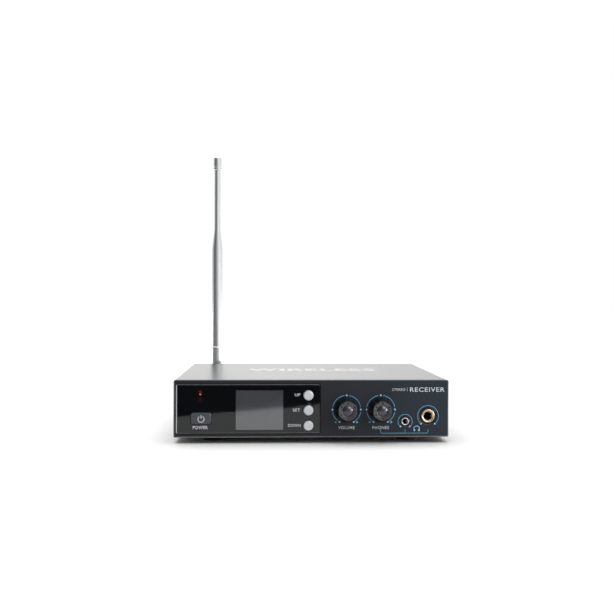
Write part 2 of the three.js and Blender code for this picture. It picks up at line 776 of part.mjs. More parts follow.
function tipCap() {
  return turnUpright([
    [0, cap.bottom + cap.cover],
    [whip.radius + gap, cap.bottom + cap.cover],
    [whip.radius + gap, cap.bottom],
    [cap.radius, cap.bottom],
    [cap.radius, antenna.tip - 1.4],
    [cap.radius - 0.9, antenna.tip - 0.3],
    [0, antenna.tip],
  ]);
}

const pinHalf = hinge.tongue / 2 + gap + hinge.earWidth + 0.3;
add('antenna_socket', antennaSocket(), nickel, antenna.x, 0, rearRow);
add('antenna_lock_ring', lockRing(), blackSteel, antenna.x, 0, rearRow);
add('antenna_base', antennaBase(), antennaBlack, antenna.x, 0, rearRow);
add('antenna_hinge_pin', crossBar(hinge.pinRadius, -pinHalf, pinHalf), steel, antenna.x, hingeY, rearRow);
add('antenna_knuckle', antennaKnuckle(), antennaBlack, antenna.x, hingeY, rearRow);
add('antenna_sleeve', antennaSleeve(), antennaBlack, antenna.x, hingeY, 0);
add('antenna_cap', tipCap(), antennaBlack, antenna.x, hingeY, 0);

export default group;
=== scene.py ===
import json
import math

import bmesh
import bpy
from mathutils import Matrix, Vector

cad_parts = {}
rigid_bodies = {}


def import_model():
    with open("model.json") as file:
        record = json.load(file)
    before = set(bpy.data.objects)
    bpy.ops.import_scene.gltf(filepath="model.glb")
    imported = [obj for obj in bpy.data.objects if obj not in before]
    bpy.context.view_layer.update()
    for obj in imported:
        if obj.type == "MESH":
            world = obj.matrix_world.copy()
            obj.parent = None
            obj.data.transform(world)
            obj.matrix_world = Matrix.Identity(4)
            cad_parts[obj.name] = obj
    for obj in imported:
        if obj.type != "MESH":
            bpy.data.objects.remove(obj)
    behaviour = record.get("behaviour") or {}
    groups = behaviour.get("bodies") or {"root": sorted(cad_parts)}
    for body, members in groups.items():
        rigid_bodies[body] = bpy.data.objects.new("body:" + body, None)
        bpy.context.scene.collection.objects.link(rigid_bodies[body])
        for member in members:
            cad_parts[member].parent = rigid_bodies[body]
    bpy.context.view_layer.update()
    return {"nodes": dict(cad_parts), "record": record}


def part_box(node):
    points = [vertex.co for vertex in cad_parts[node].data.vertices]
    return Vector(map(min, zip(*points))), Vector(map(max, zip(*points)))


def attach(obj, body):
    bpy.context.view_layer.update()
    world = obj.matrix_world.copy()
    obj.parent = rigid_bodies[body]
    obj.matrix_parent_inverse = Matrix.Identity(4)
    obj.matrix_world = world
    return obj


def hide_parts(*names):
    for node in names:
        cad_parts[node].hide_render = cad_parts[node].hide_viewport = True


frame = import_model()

# Sizes below are in millimetres, measured from the middle of the front panel's lower front edge:
# X to the right, Y to the back, Z up. A finished mesh is moved and scaled into the frame's metres.
mm = 0.001
panelLow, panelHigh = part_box("front_panel")
datum = Vector(((panelLow.x + panelHigh.x) / 2, panelLow.y, panelLow.z))
toMetres = Matrix.Translation(datum) @ Matrix.Scale(mm, 4)


def extent(node):
    low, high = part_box(node)
    return (low - datum) / mm, (high - datum) / mm


def middle(node):
    low, high = extent(node)
    return (low + high) / 2


caseLow, caseHigh = extent("front_panel")
caseWidth = caseHigh.x - caseLow.x
caseHeight = caseHigh.z
caseDepth = extent("top_cover")[1].y
floorLevel = extent("foot_front_left")[0].z
clearance = 0.3        # the space between separate parts
print("frame loaded:", len(frame["nodes"]), "nodes")


# Outlines, drawn in X and Z

def arcPoints(x, z, radius, start, end, steps=24):
    points = []
    for step in range(steps + 1):
        angle = math.radians(start + (end - start) * step / steps)
        points.append((x + radius * math.cos(angle), z + radius * math.sin(angle)))
    return points


def circlePoints(x, z, radius, steps=64):
    return arcPoints(x, z, radius, 0, 360 - 360 / steps, steps - 1)


def roundedRectangle(x, z, width, height, radius, steps=8):
    points = []
    for quarter, (sideX, sideZ) in enumerate(((1, 1), (-1, 1), (-1, -1), (1, -1))):
        cornerX = x + sideX * (width / 2 - radius)
        cornerZ = z + sideZ * (height / 2 - radius)
        points += arcPoints(cornerX, cornerZ, radius, 90 * quarter, 90 * quarter + 90, steps)
    return points


# Meshes, made in millimetres

meshing = {"mergeDistance": 0.001, "bevelAngle": 32, "sharpAngle": 35}


def takeMesh(holder):
    # the holder's evaluated shape as a plain mesh; the holder goes
    bpy.context.scene.collection.objects.link(holder)
    graph = bpy.context.evaluated_depsgraph_get()
    mesh = bpy.data.meshes.new_from_object(holder.evaluated_get(graph), depsgraph=graph)
    bpy.data.objects.remove(holder)
    return mesh


def weld(mesh):
    shell = bmesh.new()
    shell.from_mesh(mesh)
    bmesh.ops.remove_doubles(shell, verts=shell.verts, dist=meshing["mergeDistance"])
    bmesh.ops.recalc_face_normals(shell, faces=shell.faces)
    shell.to_mesh(mesh)
    shell.free()
    return mesh


def plate(outlines, front, back, bevel=0.0, rounds=2):
    # outer and inner outlines filled between, and thickened from front to back
    curve = bpy.data.curves.new("plate", "CURVE")
    curve.dimensions = "2D"
    curve.fill_mode = "BOTH"
    curve.extrude = (back - front) / 2 - bevel
    curve.bevel_depth = bevel
    curve.bevel_resolution = rounds
    curve.offset = -bevel
    for points in outlines:
        spline = curve.splines.new("POLY")
        spline.points.add(len(points) - 1)
        spline.use_cyclic_u = True
        for point, (x, z) in zip(spline.points, points):
            point.co = (x, z, 0, 1)
    mesh = takeMesh(bpy.data.objects.new("plate", curve))
    turned = Matrix.Rotation(math.pi / 2, 4, "X")
    mesh.transform(Matrix.Translation((0, (front + back) / 2, 0)) @ turned)
    return weld(mesh)


def lathe(profile, centre=(0, 0, 0), axis="Y", steps=64):
    # turns [radius, distance] pairs; the profile ends on the axis, or closes on itself
    shell = bmesh.new()
    rings = []
    for radius, along in profile:
        ring = []
        for step in range(steps if radius > 0.0001 else 1):
            angle = 2 * math.pi * step / steps
            across = radius * math.cos(angle)
            up = radius * math.sin(angle)
            place = {"X": (along, across, up), "Y": (across, along, up), "Z": (across, up, along)}[axis]
            ring.append(shell.verts.new(Vector(centre) + Vector(place)))
        rings.append(ring)
    following = rings[1:]
    if len(rings[0]) > 1:
        following.append(rings[0])
    for lower, upper in zip(rings, following):
        for step in range(steps):
            after = (step + 1) % steps
            corners = [lower[step % len(lower)], lower[after % len(lower)]]
            corners += [upper[after % len(upper)], upper[step % len(upper)]]
            shell.faces.new(list(dict.fromkeys(corners)))
    bmesh.ops.recalc_face_normals(shell, faces=shell.faces)
    mesh = bpy.data.meshes.new("lathe")
    shell.to_mesh(mesh)
    shell.free()
    return mesh


def block(low, high):
    shell = bmesh.new()
    bmesh.ops.create_cube(shell, size=1)
    for vert in shell.verts:
        vert.co = [a + (b - a) * (c + 0.5) for a, b, c in zip(low, high, vert.co)]
    mesh = bpy.data.meshes.new("block")
    shell.to_mesh(mesh)
    shell.free()
    return mesh


def combine(*meshes):
    shell = bmesh.new()
    for mesh in meshes:
        shell.from_mesh(mesh)
        bpy.data.meshes.remove(mesh)
    whole = bpy.data.meshes.new("whole")
    shell.to_mesh(whole)
    shell.free()
    return whole


def soften(mesh, width, segments=2):
    holder = bpy.data.objects.new("soften", mesh)
    bevel = holder.modifiers.new("edges", "BEVEL")
    bevel.width = width
    bevel.segments = segments
    bevel.limit_method = "ANGLE"
    bevel.angle_limit = math.radians(meshing["bevelAngle"])
    return takeMesh(holder)


def carve(mesh, tool):
    cutter = bpy.data.objects.new("cutter", tool)
    bpy.context.scene.collection.objects.link(cutter)
    holder = bpy.data.objects.new("carve", mesh)
    cut = holder.modifiers.new("cut", "BOOLEAN")
    cut.operation = "DIFFERENCE"
    cut.solver = "EXACT"
    cut.object = cutter
    carved = takeMesh(holder)
    bpy.data.objects.remove(cutter)
    return carved


def addPiece(name, mesh, body, finish, replaced=()):
    mesh.shade_smooth()
    mesh.set_sharp_from_angle(angle=math.radians(meshing["sharpAngle"]))
    holder = bpy.data.objects.new("shade", mesh)
    holder.modifiers.new("even", "WEIGHTED_NORMAL").keep_sharp = True
    mesh = takeMesh(holder)
    mesh.name = name
    mesh.transform(toMetres)
    if finish.name not in mesh.materials:
        mesh.materials.clear()
        mesh.materials.append(finish)
        for face in mesh.polygons:
            face.material_index = 0
    piece = bpy.data.objects.new(name, mesh)
    bpy.context.scene.collection.objects.link(piece)
    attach(piece, body)
    if replaced:
        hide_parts(*replaced)


# Node trees, for shapes and for finishes

def addNode(tree, kind, inputs=None, **settings):
    node = tree.nodes.new(kind)
    for setting, value in settings.items():
        setattr(node, setting, value)
    for label, value in (inputs or {}).items():
        if isinstance(value, bpy.types.NodeSocket):
            tree.links.new(value, node.inputs[label])
        else:
            node.inputs[label].default_value = value
    return node


def newTree(name, inputs):
    tree = bpy.data.node_groups.new(name, "GeometryNodeTree")
    tree.interface.new_socket("Geometry", in_out="INPUT", socket_type="NodeSocketGeometry")
    tree.interface.new_socket("Geometry", in_out="OUTPUT", socket_type="NodeSocketGeometry")
    for label, kind in inputs.items():
        tree.interface.new_socket(label, in_out="INPUT", socket_type="NodeSocket" + kind)
    return tree, tree.nodes.new("NodeGroupInput").outputs


def endTree(tree, geometry, material):
    whole = addNode(tree, "GeometryNodeRealizeInstances", {"Geometry": geometry})
    painted = addNode(tree, "GeometryNodeSetMaterial", {"Geometry": whole.outputs[0], "Material": material})
    result = tree.nodes.new("NodeGroupOutput")
    tree.links.new(painted.outputs[0], result.inputs[0])
    return tree


def grow(tree, mesh, values):
    # runs a tree on a mesh and gives a plain mesh back
    holder = bpy.data.objects.new("grow", mesh)
    modifier = holder.modifiers.new("grow", "NODES")
    modifier.node_group = tree
    for item in tree.interface.items_tree:
        if item.in_out == "INPUT" and item.name in values:
            modifier[item.identifier] = values[item.name]
    return takeMesh(holder)


def pointMesh(points, facings=None):
    mesh = bpy.data.meshes.new("points")
    mesh.from_pydata([tuple(point) for point in points], [], [])
    if facings:
        facing = mesh.attributes.new("facing", "FLOAT_VECTOR", "POINT")
        for item, direction in zip(facing.data, facings):
            item.vector = direction
    return mesh


def lineMesh(paths):
    # paths of (x, z) points as edges in the XY plane
    points = []
    edges = []
    for path in paths:
        start = len(points)
        points += [(x, z, 0) for x, z in path]
        edges += [(start + step, start + step + 1) for step in range(len(path) - 1)]
    mesh = bpy.data.meshes.new("lines")
    mesh.from_pydata(points, edges, [])
    return mesh


def copiesTree():
    # one copy of a fastener or foot on each point, its Z axis along the point's facing
    tree, given = newTree("copies", {"Copied": "Object", "Finish": "Material"})
    copied = addNode(tree, "GeometryNodeObjectInfo", {"Object": given["Copied"]})
    facing = addNode(tree, "GeometryNodeInputNamedAttribute", {"Name": "facing"}, data_type="FLOAT_VECTOR")
    turned = addNode(
        tree, "FunctionNodeAlignRotationToVector", {"Vector": facing.outputs["Attribute"]}, axis="Z")
    placed = addNode(tree, "GeometryNodeInstanceOnPoints", {
        "Points": given["Geometry"],
        "Instance": copied.outputs["Geometry"],
        "Rotation": turned.outputs[0],
    })
    return endTree(tree, placed.outputs[0], given["Finish"])


def ventTree():
    # a row of round-ended slots cut through both side walls
    tree, given = newTree("vents", {
        "Count": "Int", "Pitch": "Vector", "Start": "Vector", "Width": "Float", "Height": "Float",
        "Reach": "Vector", "Finish": "Material",
    })
    row = addNode(tree, "GeometryNodeMeshLine", {
        "Count": given["Count"], "Start Location": given["Start"], "Offset": given["Pitch"],
    }, mode="OFFSET")
    outline = addNode(tree, "GeometryNodeCurvePrimitiveQuadrilateral", {
        "Width": given["Width"], "Height": given["Height"],
    })
    radius = addNode(tree, "ShaderNodeMath", {0: given["Width"], 1: 0.49}, operation="MULTIPLY")
    rounded = addNode(tree, "GeometryNodeFilletCurve", {
        "Curve": outline.outputs[0], "Count": 5, "Radius": radius.outputs[0],
    }, mode="POLY")
    path = addNode(tree, "GeometryNodeCurvePrimitiveLine", {"End": given["Reach"]})
    slot = addNode(tree, "GeometryNodeCurveToMesh", {
        "Curve": path.outputs[0], "Profile Curve": rounded.outputs[0], "Fill Caps": True,
    })
    slots = addNode(tree, "GeometryNodeInstanceOnPoints", {
        "Points": row.outputs[0], "Instance": slot.outputs[0],
    })
    tools = addNode(tree, "GeometryNodeRealizeInstances", {"Geometry": slots.outputs[0]})
    cut = addNode(tree, "GeometryNodeMeshBoolean", {
        "Mesh 1": given["Geometry"], "Mesh 2": tools.outputs[0],
    }, operation="DIFFERENCE", solver="EXACT")
    return endTree(tree, cut.outputs[0], given["Finish"])


def knurlTree():
    # ridges round a turned part, along its Z axis
    tree, given = newTree("knurl", {
        "Count": "Int", "Radius": "Float", "Ridge": "Vector", "Middle": "Vector", "Finish": "Material",
    })
    ring = addNode(tree, "GeometryNodeMeshCircle", {
        "Vertices": given["Count"], "Radius": given["Radius"],
    })
    moved = addNode(tree, "GeometryNodeTransform", {
        "Geometry": ring.outputs[0], "Translation": given["Middle"],
    })
    ridge = addNode(tree, "GeometryNodeMeshCube", {"Size": given["Ridge"]})
    edged = addNode(tree, "GeometryNodeTransform", {
        "Geometry": ridge.outputs[0], "Rotation": (0, 0, math.pi / 4),
    })
    index = addNode(tree, "GeometryNodeInputIndex")
    share = addNode(tree, "ShaderNodeMath", {0: index.outputs[0], 1: given["Count"]}, operation="DIVIDE")
    angle = addNode(tree, "ShaderNodeMath", {0: share.outputs[0], 1: 2 * math.pi}, operation="MULTIPLY")
    turn = addNode(tree, "ShaderNodeCombineXYZ", {"Z": angle.outputs[0]})
    ridges = addNode(tree, "GeometryNodeInstanceOnPoints", {
        "Points": moved.outputs[0], "Instance": edged.outputs[0], "Rotation": turn.outputs[0],
    })
    joined = addNode(tree, "GeometryNodeJoinGeometry")
    tree.links.new(given["Geometry"], joined.inputs[0])
    tree.links.new(ridges.outputs[0], joined.inputs[0])
    return endTree(tree, joined.outputs[0], given["Finish"])


def fluteTree():
    # pulls a turned part's rim in towards the Y axis at evenly spaced flutes
    tree, given = newTree("flutes", {
        "Count": "Float", "Depth": "Float", "Inside": "Float", "Outside": "Float", "Narrow": "Float",
        "Finish": "Material",
    })
    place = addNode(tree, "GeometryNodeInputPosition")
    parts = addNode(tree, "ShaderNodeSeparateXYZ", {0: place.outputs[0]})
    flat = addNode(tree, "ShaderNodeCombineXYZ", {"X": parts.outputs["X"], "Z": parts.outputs["Z"]})
    reach = addNode(tree, "ShaderNodeVectorMath", {0: flat.outputs[0]}, operation="LENGTH")
    angle = addNode(tree, "ShaderNodeMath", {
        0: parts.outputs["Z"], 1: parts.outputs["X"],
    }, operation="ARCTAN2")
    turns = addNode(tree, "ShaderNodeMath", {0: angle.outputs[0], 1: given["Count"]}, operation="MULTIPLY")
    wave = addNode(tree, "ShaderNodeMath", {0: turns.outputs[0]}, operation="COSINE")
    bite = addNode(tree, "ShaderNodeMapRange", {
        "Value": wave.outputs[0], "From Min": given["Narrow"], "From Max": 1.0,
    }, interpolation_type="SMOOTHSTEP")
    rim = addNode(tree, "ShaderNodeMapRange", {
        "Value": reach.outputs["Value"], "From Min": given["Inside"], "From Max": given["Outside"],
    }, interpolation_type="SMOOTHSTEP")
    both = addNode(tree, "ShaderNodeMath", {0: bite.outputs[0], 1: rim.outputs[0]}, operation="MULTIPLY")
    pull = addNode(tree, "ShaderNodeMath", {0: both.outputs[0], 1: given["Depth"]}, operation="MULTIPLY")
    inward = addNode(tree, "ShaderNodeMath", {0: pull.outputs[0], 1: -1.0}, operation="MULTIPLY")
    outward = addNode(tree, "ShaderNodeVectorMath", {0: flat.outputs[0]}, operation="NORMALIZE")
    shift = addNode(tree, "ShaderNodeVectorMath", {
        0: outward.outputs[0], "Scale": inward.outputs[0],
    }, operation="SCALE")
    pulled = addNode(tree, "GeometryNodeSetPosition", {
        "Geometry": given["Geometry"], "Offset": shift.outputs[0],
    })
    return endTree(tree, pulled.outputs[0], given["Finish"])


def inkLineTree():
    # printed lines along the edges of a flat drawing
    tree, given = newTree("inkLines", {"Width": "Float", "Thickness": "Float", "Ink": "Material"})
    path = addNode(tree, "GeometryNodeMeshToCurve", {"Mesh": given["Geometry"]})
    level = addNode(tree, "GeometryNodeSetCurveNormal", {"Curve": path.outputs[0]})
    strip = addNode(tree, "GeometryNodeCurvePrimitiveQuadrilateral", {
        "Width": given["Width"], "Height": given["Thickness"],
    })
    swept = addNode(tree, "GeometryNodeCurveToMesh", {
        "Curve": level.outputs[0], "Profile Curve": strip.outputs[0], "Fill Caps": True,
    })
    return endTree(tree, swept.outputs[0], given["Ink"])


def inkDotTree():
    # a printed dot on each point
    tree, given = newTree("inkDots", {"Radius": "Float", "Thickness": "Float", "Ink": "Material"})
    dot = addNode(tree, "GeometryNodeMeshCylinder", {
        "Vertices": 24, "Radius": given["Radius"], "Depth": given["Thickness"],
    })
    dots = addNode(tree, "GeometryNodeInstanceOnPoints", {
        "Points": given["Geometry"], "Instance": dot.outputs[0],
    })
    return endTree(tree, dots.outputs[0], given["Ink"])


copies = copiesTree()
vents = ventTree()
knurl = knurlTree()
flutes = fluteTree()
inkLines = inkLineTree()
inkDots = inkDotTree()
print("node trees built")


# Finishes

def mathNode(tree, operation, first, second=0.0):
    return addNode(tree, "ShaderNodeMath", {0: first, 1: second}, operation=operation).outputs[0]


def mixColours(tree, amount, first, second):
    node = addNode(tree, "ShaderNodeMix", data_type="RGBA")
    for index, value in ((0, amount), (6, first), (7, second)):
        if isinstance(value, bpy.types.NodeSocket):
            tree.links.new(value, node.inputs[index])
        else:
            node.inputs[index].default_value = value if index == 0 else (*value, 1)
    return node.outputs[2]


def mapRange(tree, value, low, high, newLow=0.0, newHigh=1.0):
    return addNode(tree, "ShaderNodeMapRange", {
        "Value": value, "From Min": low, "From Max": high, "To Min": newLow, "To Max": newHigh,
    }).outputs[0]


def grain(tree, size, detail=2.0, stretch=(1, 1, 1)):
    # noise with spots about size millimetres across
    place = addNode(tree, "ShaderNodeTexCoord")
    mapped = addNode(tree, "ShaderNodeMapping", {"Vector": place.outputs["Object"], "Scale": stretch})
    noise = addNode(tree, "ShaderNodeTexNoise", {
        "Vector": mapped.outputs[0], "Scale": 1 / (size * mm), "Detail": detail,
    })
    return noise.outputs[0]


def newFinish(name, metallic=0.0, **settings):
    finish = bpy.data.materials.new(name)
    finish.use_nodes = True
    tree = finish.node_tree
    shader = tree.nodes["Principled BSDF"]
    shader.inputs["Metallic"].default_value = metallic
    for label, value in settings.items():
        shader.inputs[label.replace("_", " ")].default_value = value
    return finish, tree, shader


def mottle(tree, shader, look):
    # colour wanders in soft clouds, gloss and relief follow a finer grain
    clouds = mapRange(tree, grain(tree, look["clouds"]), 0.3, 0.7)
    fine = grain(tree, look["grain"], 3.0, look.get("stretch", (1, 1, 1)))
    fleck = mapRange(tree, fine, 0.35, 0.65)
    both = addNode(tree, "ShaderNodeMix", {0: look.get("fleck", 0.5), 2: clouds, 3: fleck}).outputs[0]
    colour = mixColours(tree, both, look["dark"], look["light"])
    tree.links.new(colour, shader.inputs["Base Color"])
    smooth, rough = look["roughness"]
    tree.links.new(mapRange(tree, fine, 0.3, 0.7, smooth, rough), shader.inputs["Roughness"])
    relief = addNode(tree, "ShaderNodeBump", {
        "Strength": look.get("relief", 0.2), "Distance": look["grain"] * mm * 0.25, "Height": fine,
    })
    tree.links.new(relief.outputs[0], shader.inputs["Normal"])
    return colour


def makeFinish(name, look, metallic=0.0, **settings):
    finish, tree, shader = newFinish(name, metallic, **settings)
    mottle(tree, shader, look)
    return finish


def panelFinishFrom(look):
    # satin paint, with painted light: a little bluer and lighter to the right where the blue-white side lamp
    # falls, and painted highlights lightening the outer edges
    finish, tree, shader = newFinish("panelFinish", IOR=look["index"])
    paint = mottle(tree, shader, look)
    low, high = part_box("front_panel")
    parts = addNode(tree, "ShaderNodeSeparateXYZ", {
        0: addNode(tree, "ShaderNodeTexCoord").outputs["Object"],
    }).outputs
    # painted light: the paint turns bluer and a little lighter towards the right, as the blue-white side lamp
    # would light it
    sideLitTint = mixColours(tree, mapRange(tree, parts["X"], 0, high.x, 0.0, look["sideLitShare"]), paint, look["sideLitTint"])
    # painted highlight: the outer edges are lightened, fully at the bottom and the sides and a little at the
    # top, as where the chamfers catch light
    edgeSheen = look["edge"] * mm
    below = mapRange(tree, parts["Z"], low.z + edgeSheen, low.z + edgeSheen * 0.3)
    above = mapRange(tree, parts["Z"], high.z - edgeSheen * 0.8, high.z - edgeSheen * 0.2, 0.0, look["topSheen"])
    reach = mathNode(tree, "ABSOLUTE", parts["X"])
    ends = mapRange(tree, reach, high.x - edgeSheen, high.x - edgeSheen * 0.3)
    paintedEdgeSheen = mathNode(tree, "MAXIMUM", mathNode(tree, "MAXIMUM", below, above), ends)
    tree.links.new(mixColours(tree, paintedEdgeSheen, sideLitTint, look["edgeSheen"]), shader.inputs["Base Color"])
    return finish


panelFinish = panelFinishFrom({
    "dark": (0.0070, 0.0074, 0.0094), "light": (0.0115, 0.0128, 0.0170), "clouds": 45, "grain": 0.22,
    "roughness": (0.40, 0.56), "relief": 0.25, "index": 1.32,
    # the bluish colour mixed in towards the right is painted side light
    "sideLitTint": (0.009, 0.017, 0.025), "sideLitShare": 0.75,
    # the pale edge colour is a painted highlight on the chamfered edges, faint along the top
    "edgeSheen": (0.19, 0.19, 0.195), "edge": 1.0, "topSheen": 0.12,
})
casePaint = makeFinish("casePaint", {
    "dark": (0.040, 0.040, 0.038), "light": (0.055, 0.055, 0.052), "clouds": 30, "grain": 0.5,
    "roughness": (0.24, 0.36), "relief": 0.12,
}, Coat_Weight=0.6, Coat_Roughness=0.25, IOR=1.8)
keySilver = makeFinish("keySilver", {
    "dark": (0.40, 0.418, 0.435), "light": (0.51, 0.530, 0.550), "clouds": 6, "grain": 0.12,
    "roughness": (0.28, 0.42), "relief": 0.15,
}, metallic=0.25)
powerKeySatin = makeFinish("powerKeySatin", {
    "dark": (0.026, 0.032, 0.040), "light": (0.042, 0.050, 0.060), "clouds": 5, "grain": 0.18,
    "roughness": (0.30, 0.46), "relief": 0.3,
})
knobBlack = makeFinish("knobBlack", {
    "dark": (0.0020, 0.0020, 0.0024), "light": (0.005, 0.005, 0.006), "clouds": 4, "grain": 0.15,
    "roughness": (0.28, 0.42), "relief": 0.2,
}, IOR=1.24)
knobFace = makeFinish("knobFace", {
    "dark": (0.040, 0.041, 0.046), "light": (0.085, 0.088, 0.096), "clouds": 3, "grain": 0.14,
    "roughness": (0.22, 0.36), "relief": 0.25,
}, metallic=0.6, IOR=1.4)
knobDome = makeFinish("knobDome", {
    "dark": (0.055, 0.056, 0.064), "light": (0.085, 0.086, 0.096), "clouds": 3, "grain": 0.3,
    "roughness": (0.22, 0.30), "relief": 0.05,
}, metallic=0.85)
rubber = makeFinish("rubber", {
    "dark": (0.008, 0.008, 0.008), "light": (0.022, 0.022, 0.021), "clouds": 4, "grain": 0.3,
    "roughness": (0.68, 0.92), "relief": 0.5,
})
zincSteel = makeFinish("zincSteel", {
    "dark": (0.44, 0.45, 0.46), "light": (0.62, 0.62, 0.60), "clouds": 2.5, "grain": 0.2,
    "roughness": (0.24, 0.42), "relief": 0.2,
}, metallic=1.0)
blackSteel = makeFinish("blackSteel", {
    "dark": (0.016, 0.016, 0.018), "light": (0.040, 0.040, 0.042), "clouds": 2, "grain": 0.2,
    "roughness": (0.26, 0.44), "relief": 0.2,
}, metallic=0.8)
blackPlastic = makeFinish("blackPlastic", {
    "dark": (0.010, 0.010, 0.011), "light": (0.020, 0.020, 0.021), "clouds": 5, "grain": 0.25,
    "roughness": (0.42, 0.62), "relief": 0.35,
})
nickel = makeFinish("nickel", {
    "dark": (0.58, 0.57, 0.54), "light": (0.72, 0.71, 0.68), "clouds": 2, "grain": 0.25,
    "roughness": (0.14, 0.28), "relief": 0.08,
}, metallic=1.0)
satinNickel = makeFinish("satinNickel", {
    "dark": (0.56, 0.56, 0.55), "light": (0.70, 0.70, 0.69), "clouds": 2, "grain": 0.25,
    "roughness": (0.42, 0.55), "relief": 0.08,
}, metallic=0.8)
brass = makeFinish("brass", {
    "dark": (0.46, 0.37, 0.25), "light": (0.66, 0.56, 0.42), "clouds": 1.6, "grain": 0.2,
    "roughness": (0.18, 0.34), "relief": 0.1,
}, metallic=1.0)
screenGlass = makeFinish("screenGlass", {
    "dark": (0.028, 0.033, 0.036), "light": (0.038, 0.044, 0.048), "clouds": 14, "grain": 0.12,
    "roughness": (0.06, 0.10), "relief": 0.02,
}, IOR=2.0)
ledRed = makeFinish("ledRed", {
    "dark": (0.25, 0.02, 0.015), "light": (0.42, 0.03, 0.02), "clouds": 1, "grain": 0.2,
    "roughness": (0.15, 0.30),
})
antennaMetal = makeFinish("antennaMetal", {
    "dark": (0.80, 0.815, 0.83), "light": (0.88, 0.89, 0.90), "clouds": 9, "grain": 0.3,
    "roughness": (0.16, 0.26), "relief": 0.05, "stretch": (1, 1, 0.15),
}, metallic=1.0)
whiteInk = makeFinish("whiteInk", {
    "dark": (0.34, 0.36, 0.385), "light": (0.45, 0.47, 0.50), "clouds": 1.5, "grain": 0.12,
    "roughness": (0.45, 0.60),
})
blueInk = makeFinish("blueInk", {
    "dark": (0.060, 0.190, 0.330), "light": (0.090, 0.255, 0.420), "clouds": 3, "grain": 0.12,
    "roughness": (0.45, 0.60),
})
paleBlueInk = makeFinish("paleBlueInk", {
    "dark": (0.20, 0.42, 0.58), "light": (0.27, 0.52, 0.68), "clouds": 2, "grain": 0.12,
    "roughness": (0.45, 0.60),
})
coverInk = makeFinish("coverInk", {
    "dark": (0.26, 0.26, 0.255), "light": (0.34, 0.34, 0.33), "clouds": 6, "grain": 0.3,
    "roughness": (0.14, 0.22),
}, IOR=1.8)


def lensFinish(look):
    # smoked acrylic with painted highlights along the left edge and the top and bottom rims; the red lamp
    # behind it is painted onto the lens as glowing spots, with a painted highlight and a painted reflection
    # below
    finish, tree, shader = newFinish("lensAcrylic", Coat_Weight=0.0, IOR=1.49)
    low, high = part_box("display_lens")
    place = addNode(tree, "ShaderNodeTexCoord").outputs["Object"]
    parts = addNode(tree, "ShaderNodeSeparateXYZ", {0: place}).outputs
    smoke = mixColours(tree, mapRange(tree, grain(tree, 20), 0.3, 0.7), look["dark"], look["light"])
    # painted highlight along the left edge, and a fainter one along the top and bottom rims
    leftEdge = mapRange(tree, parts["X"], low.x + look["edge"] * mm, low.x + look["edge"] * mm * 0.6)
    upper = mapRange(tree, parts["Z"], high.z - look["rim"] * mm * 1.6, high.z - look["rim"] * mm)
    lower = mapRange(tree, parts["Z"], low.z + look["rim"] * mm * 1.6, low.z + look["rim"] * mm)
    rims = mathNode(tree, "MAXIMUM", upper, lower)
    rimmed = mixColours(tree, mathNode(tree, "MULTIPLY", rims, 0.5), smoke, look["rimHighlight"])
    edged = mixColours(tree, leftEdge, rimmed, look["edgeHighlight"])
    tree.links.new(edged, shader.inputs["Base Color"])
    # painted light: glowing spots on the lens stand in for the unlit red lamp behind it, a highlight on it
    # and its reflection below
    paintedLampGlow = (0, 0, 0)
    led = (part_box("power_led")[0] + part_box("power_led")[1]) / 2
    for spot in look["spots"]:
        centre = (led.x, 0, led.z + spot["rise"] * mm)
        flat = addNode(tree, "ShaderNodeVectorMath", {0: place, 1: centre}, operation="SUBTRACT")
        size = (1 / (spot["width"] * mm), 0, 1 / (spot["height"] * mm))
        scaled = addNode(tree, "ShaderNodeVectorMath", {0: flat.outputs[0], 1: size}, operation="MULTIPLY")
        reach = addNode(tree, "ShaderNodeVectorMath", {0: scaled.outputs[0]}, operation="LENGTH")
        paintedLampGlow = mixColours(tree, mapRange(tree, reach.outputs["Value"], 1.0, 0.2), paintedLampGlow, spot["colour"])
    tree.links.new(paintedLampGlow, shader.inputs["Emission Color"])
    shader.inputs["Emission Strength"].default_value = 1.0
    dust = grain(tree, 0.35, 4.0)
    tree.links.new(mapRange(tree, dust, 0.55, 0.75, 0.035, 0.09), shader.inputs["Roughness"])
    return finish


lensAcrylic = lensFinish({
    "dark": (0.0004, 0.0007, 0.0010), "light": (0.0009, 0.0014, 0.0020),
    # the edge and rim colours are painted highlights
    "edge": 1.0, "edgeHighlight": (0.34, 0.35, 0.37), "rim": 0.35, "rimHighlight": (0.14, 0.15, 0.16),
    # the spots are a painted glowing red lamp behind the lens, a painted highlight on it and a painted
    # reflection below it
    "spots": [
        {"rise": -4.4, "width": 2.5, "height": 2.6, "colour": (0.022, 0.002, 0.002)},
        {"rise": 1.4, "width": 1.7, "height": 1.6, "colour": (0.12, 0.014, 0.010)},
        {"rise": -0.4, "width": 1.0, "height": 0.7, "colour": (0.75, 0.32, 0.26)},
    ],
})


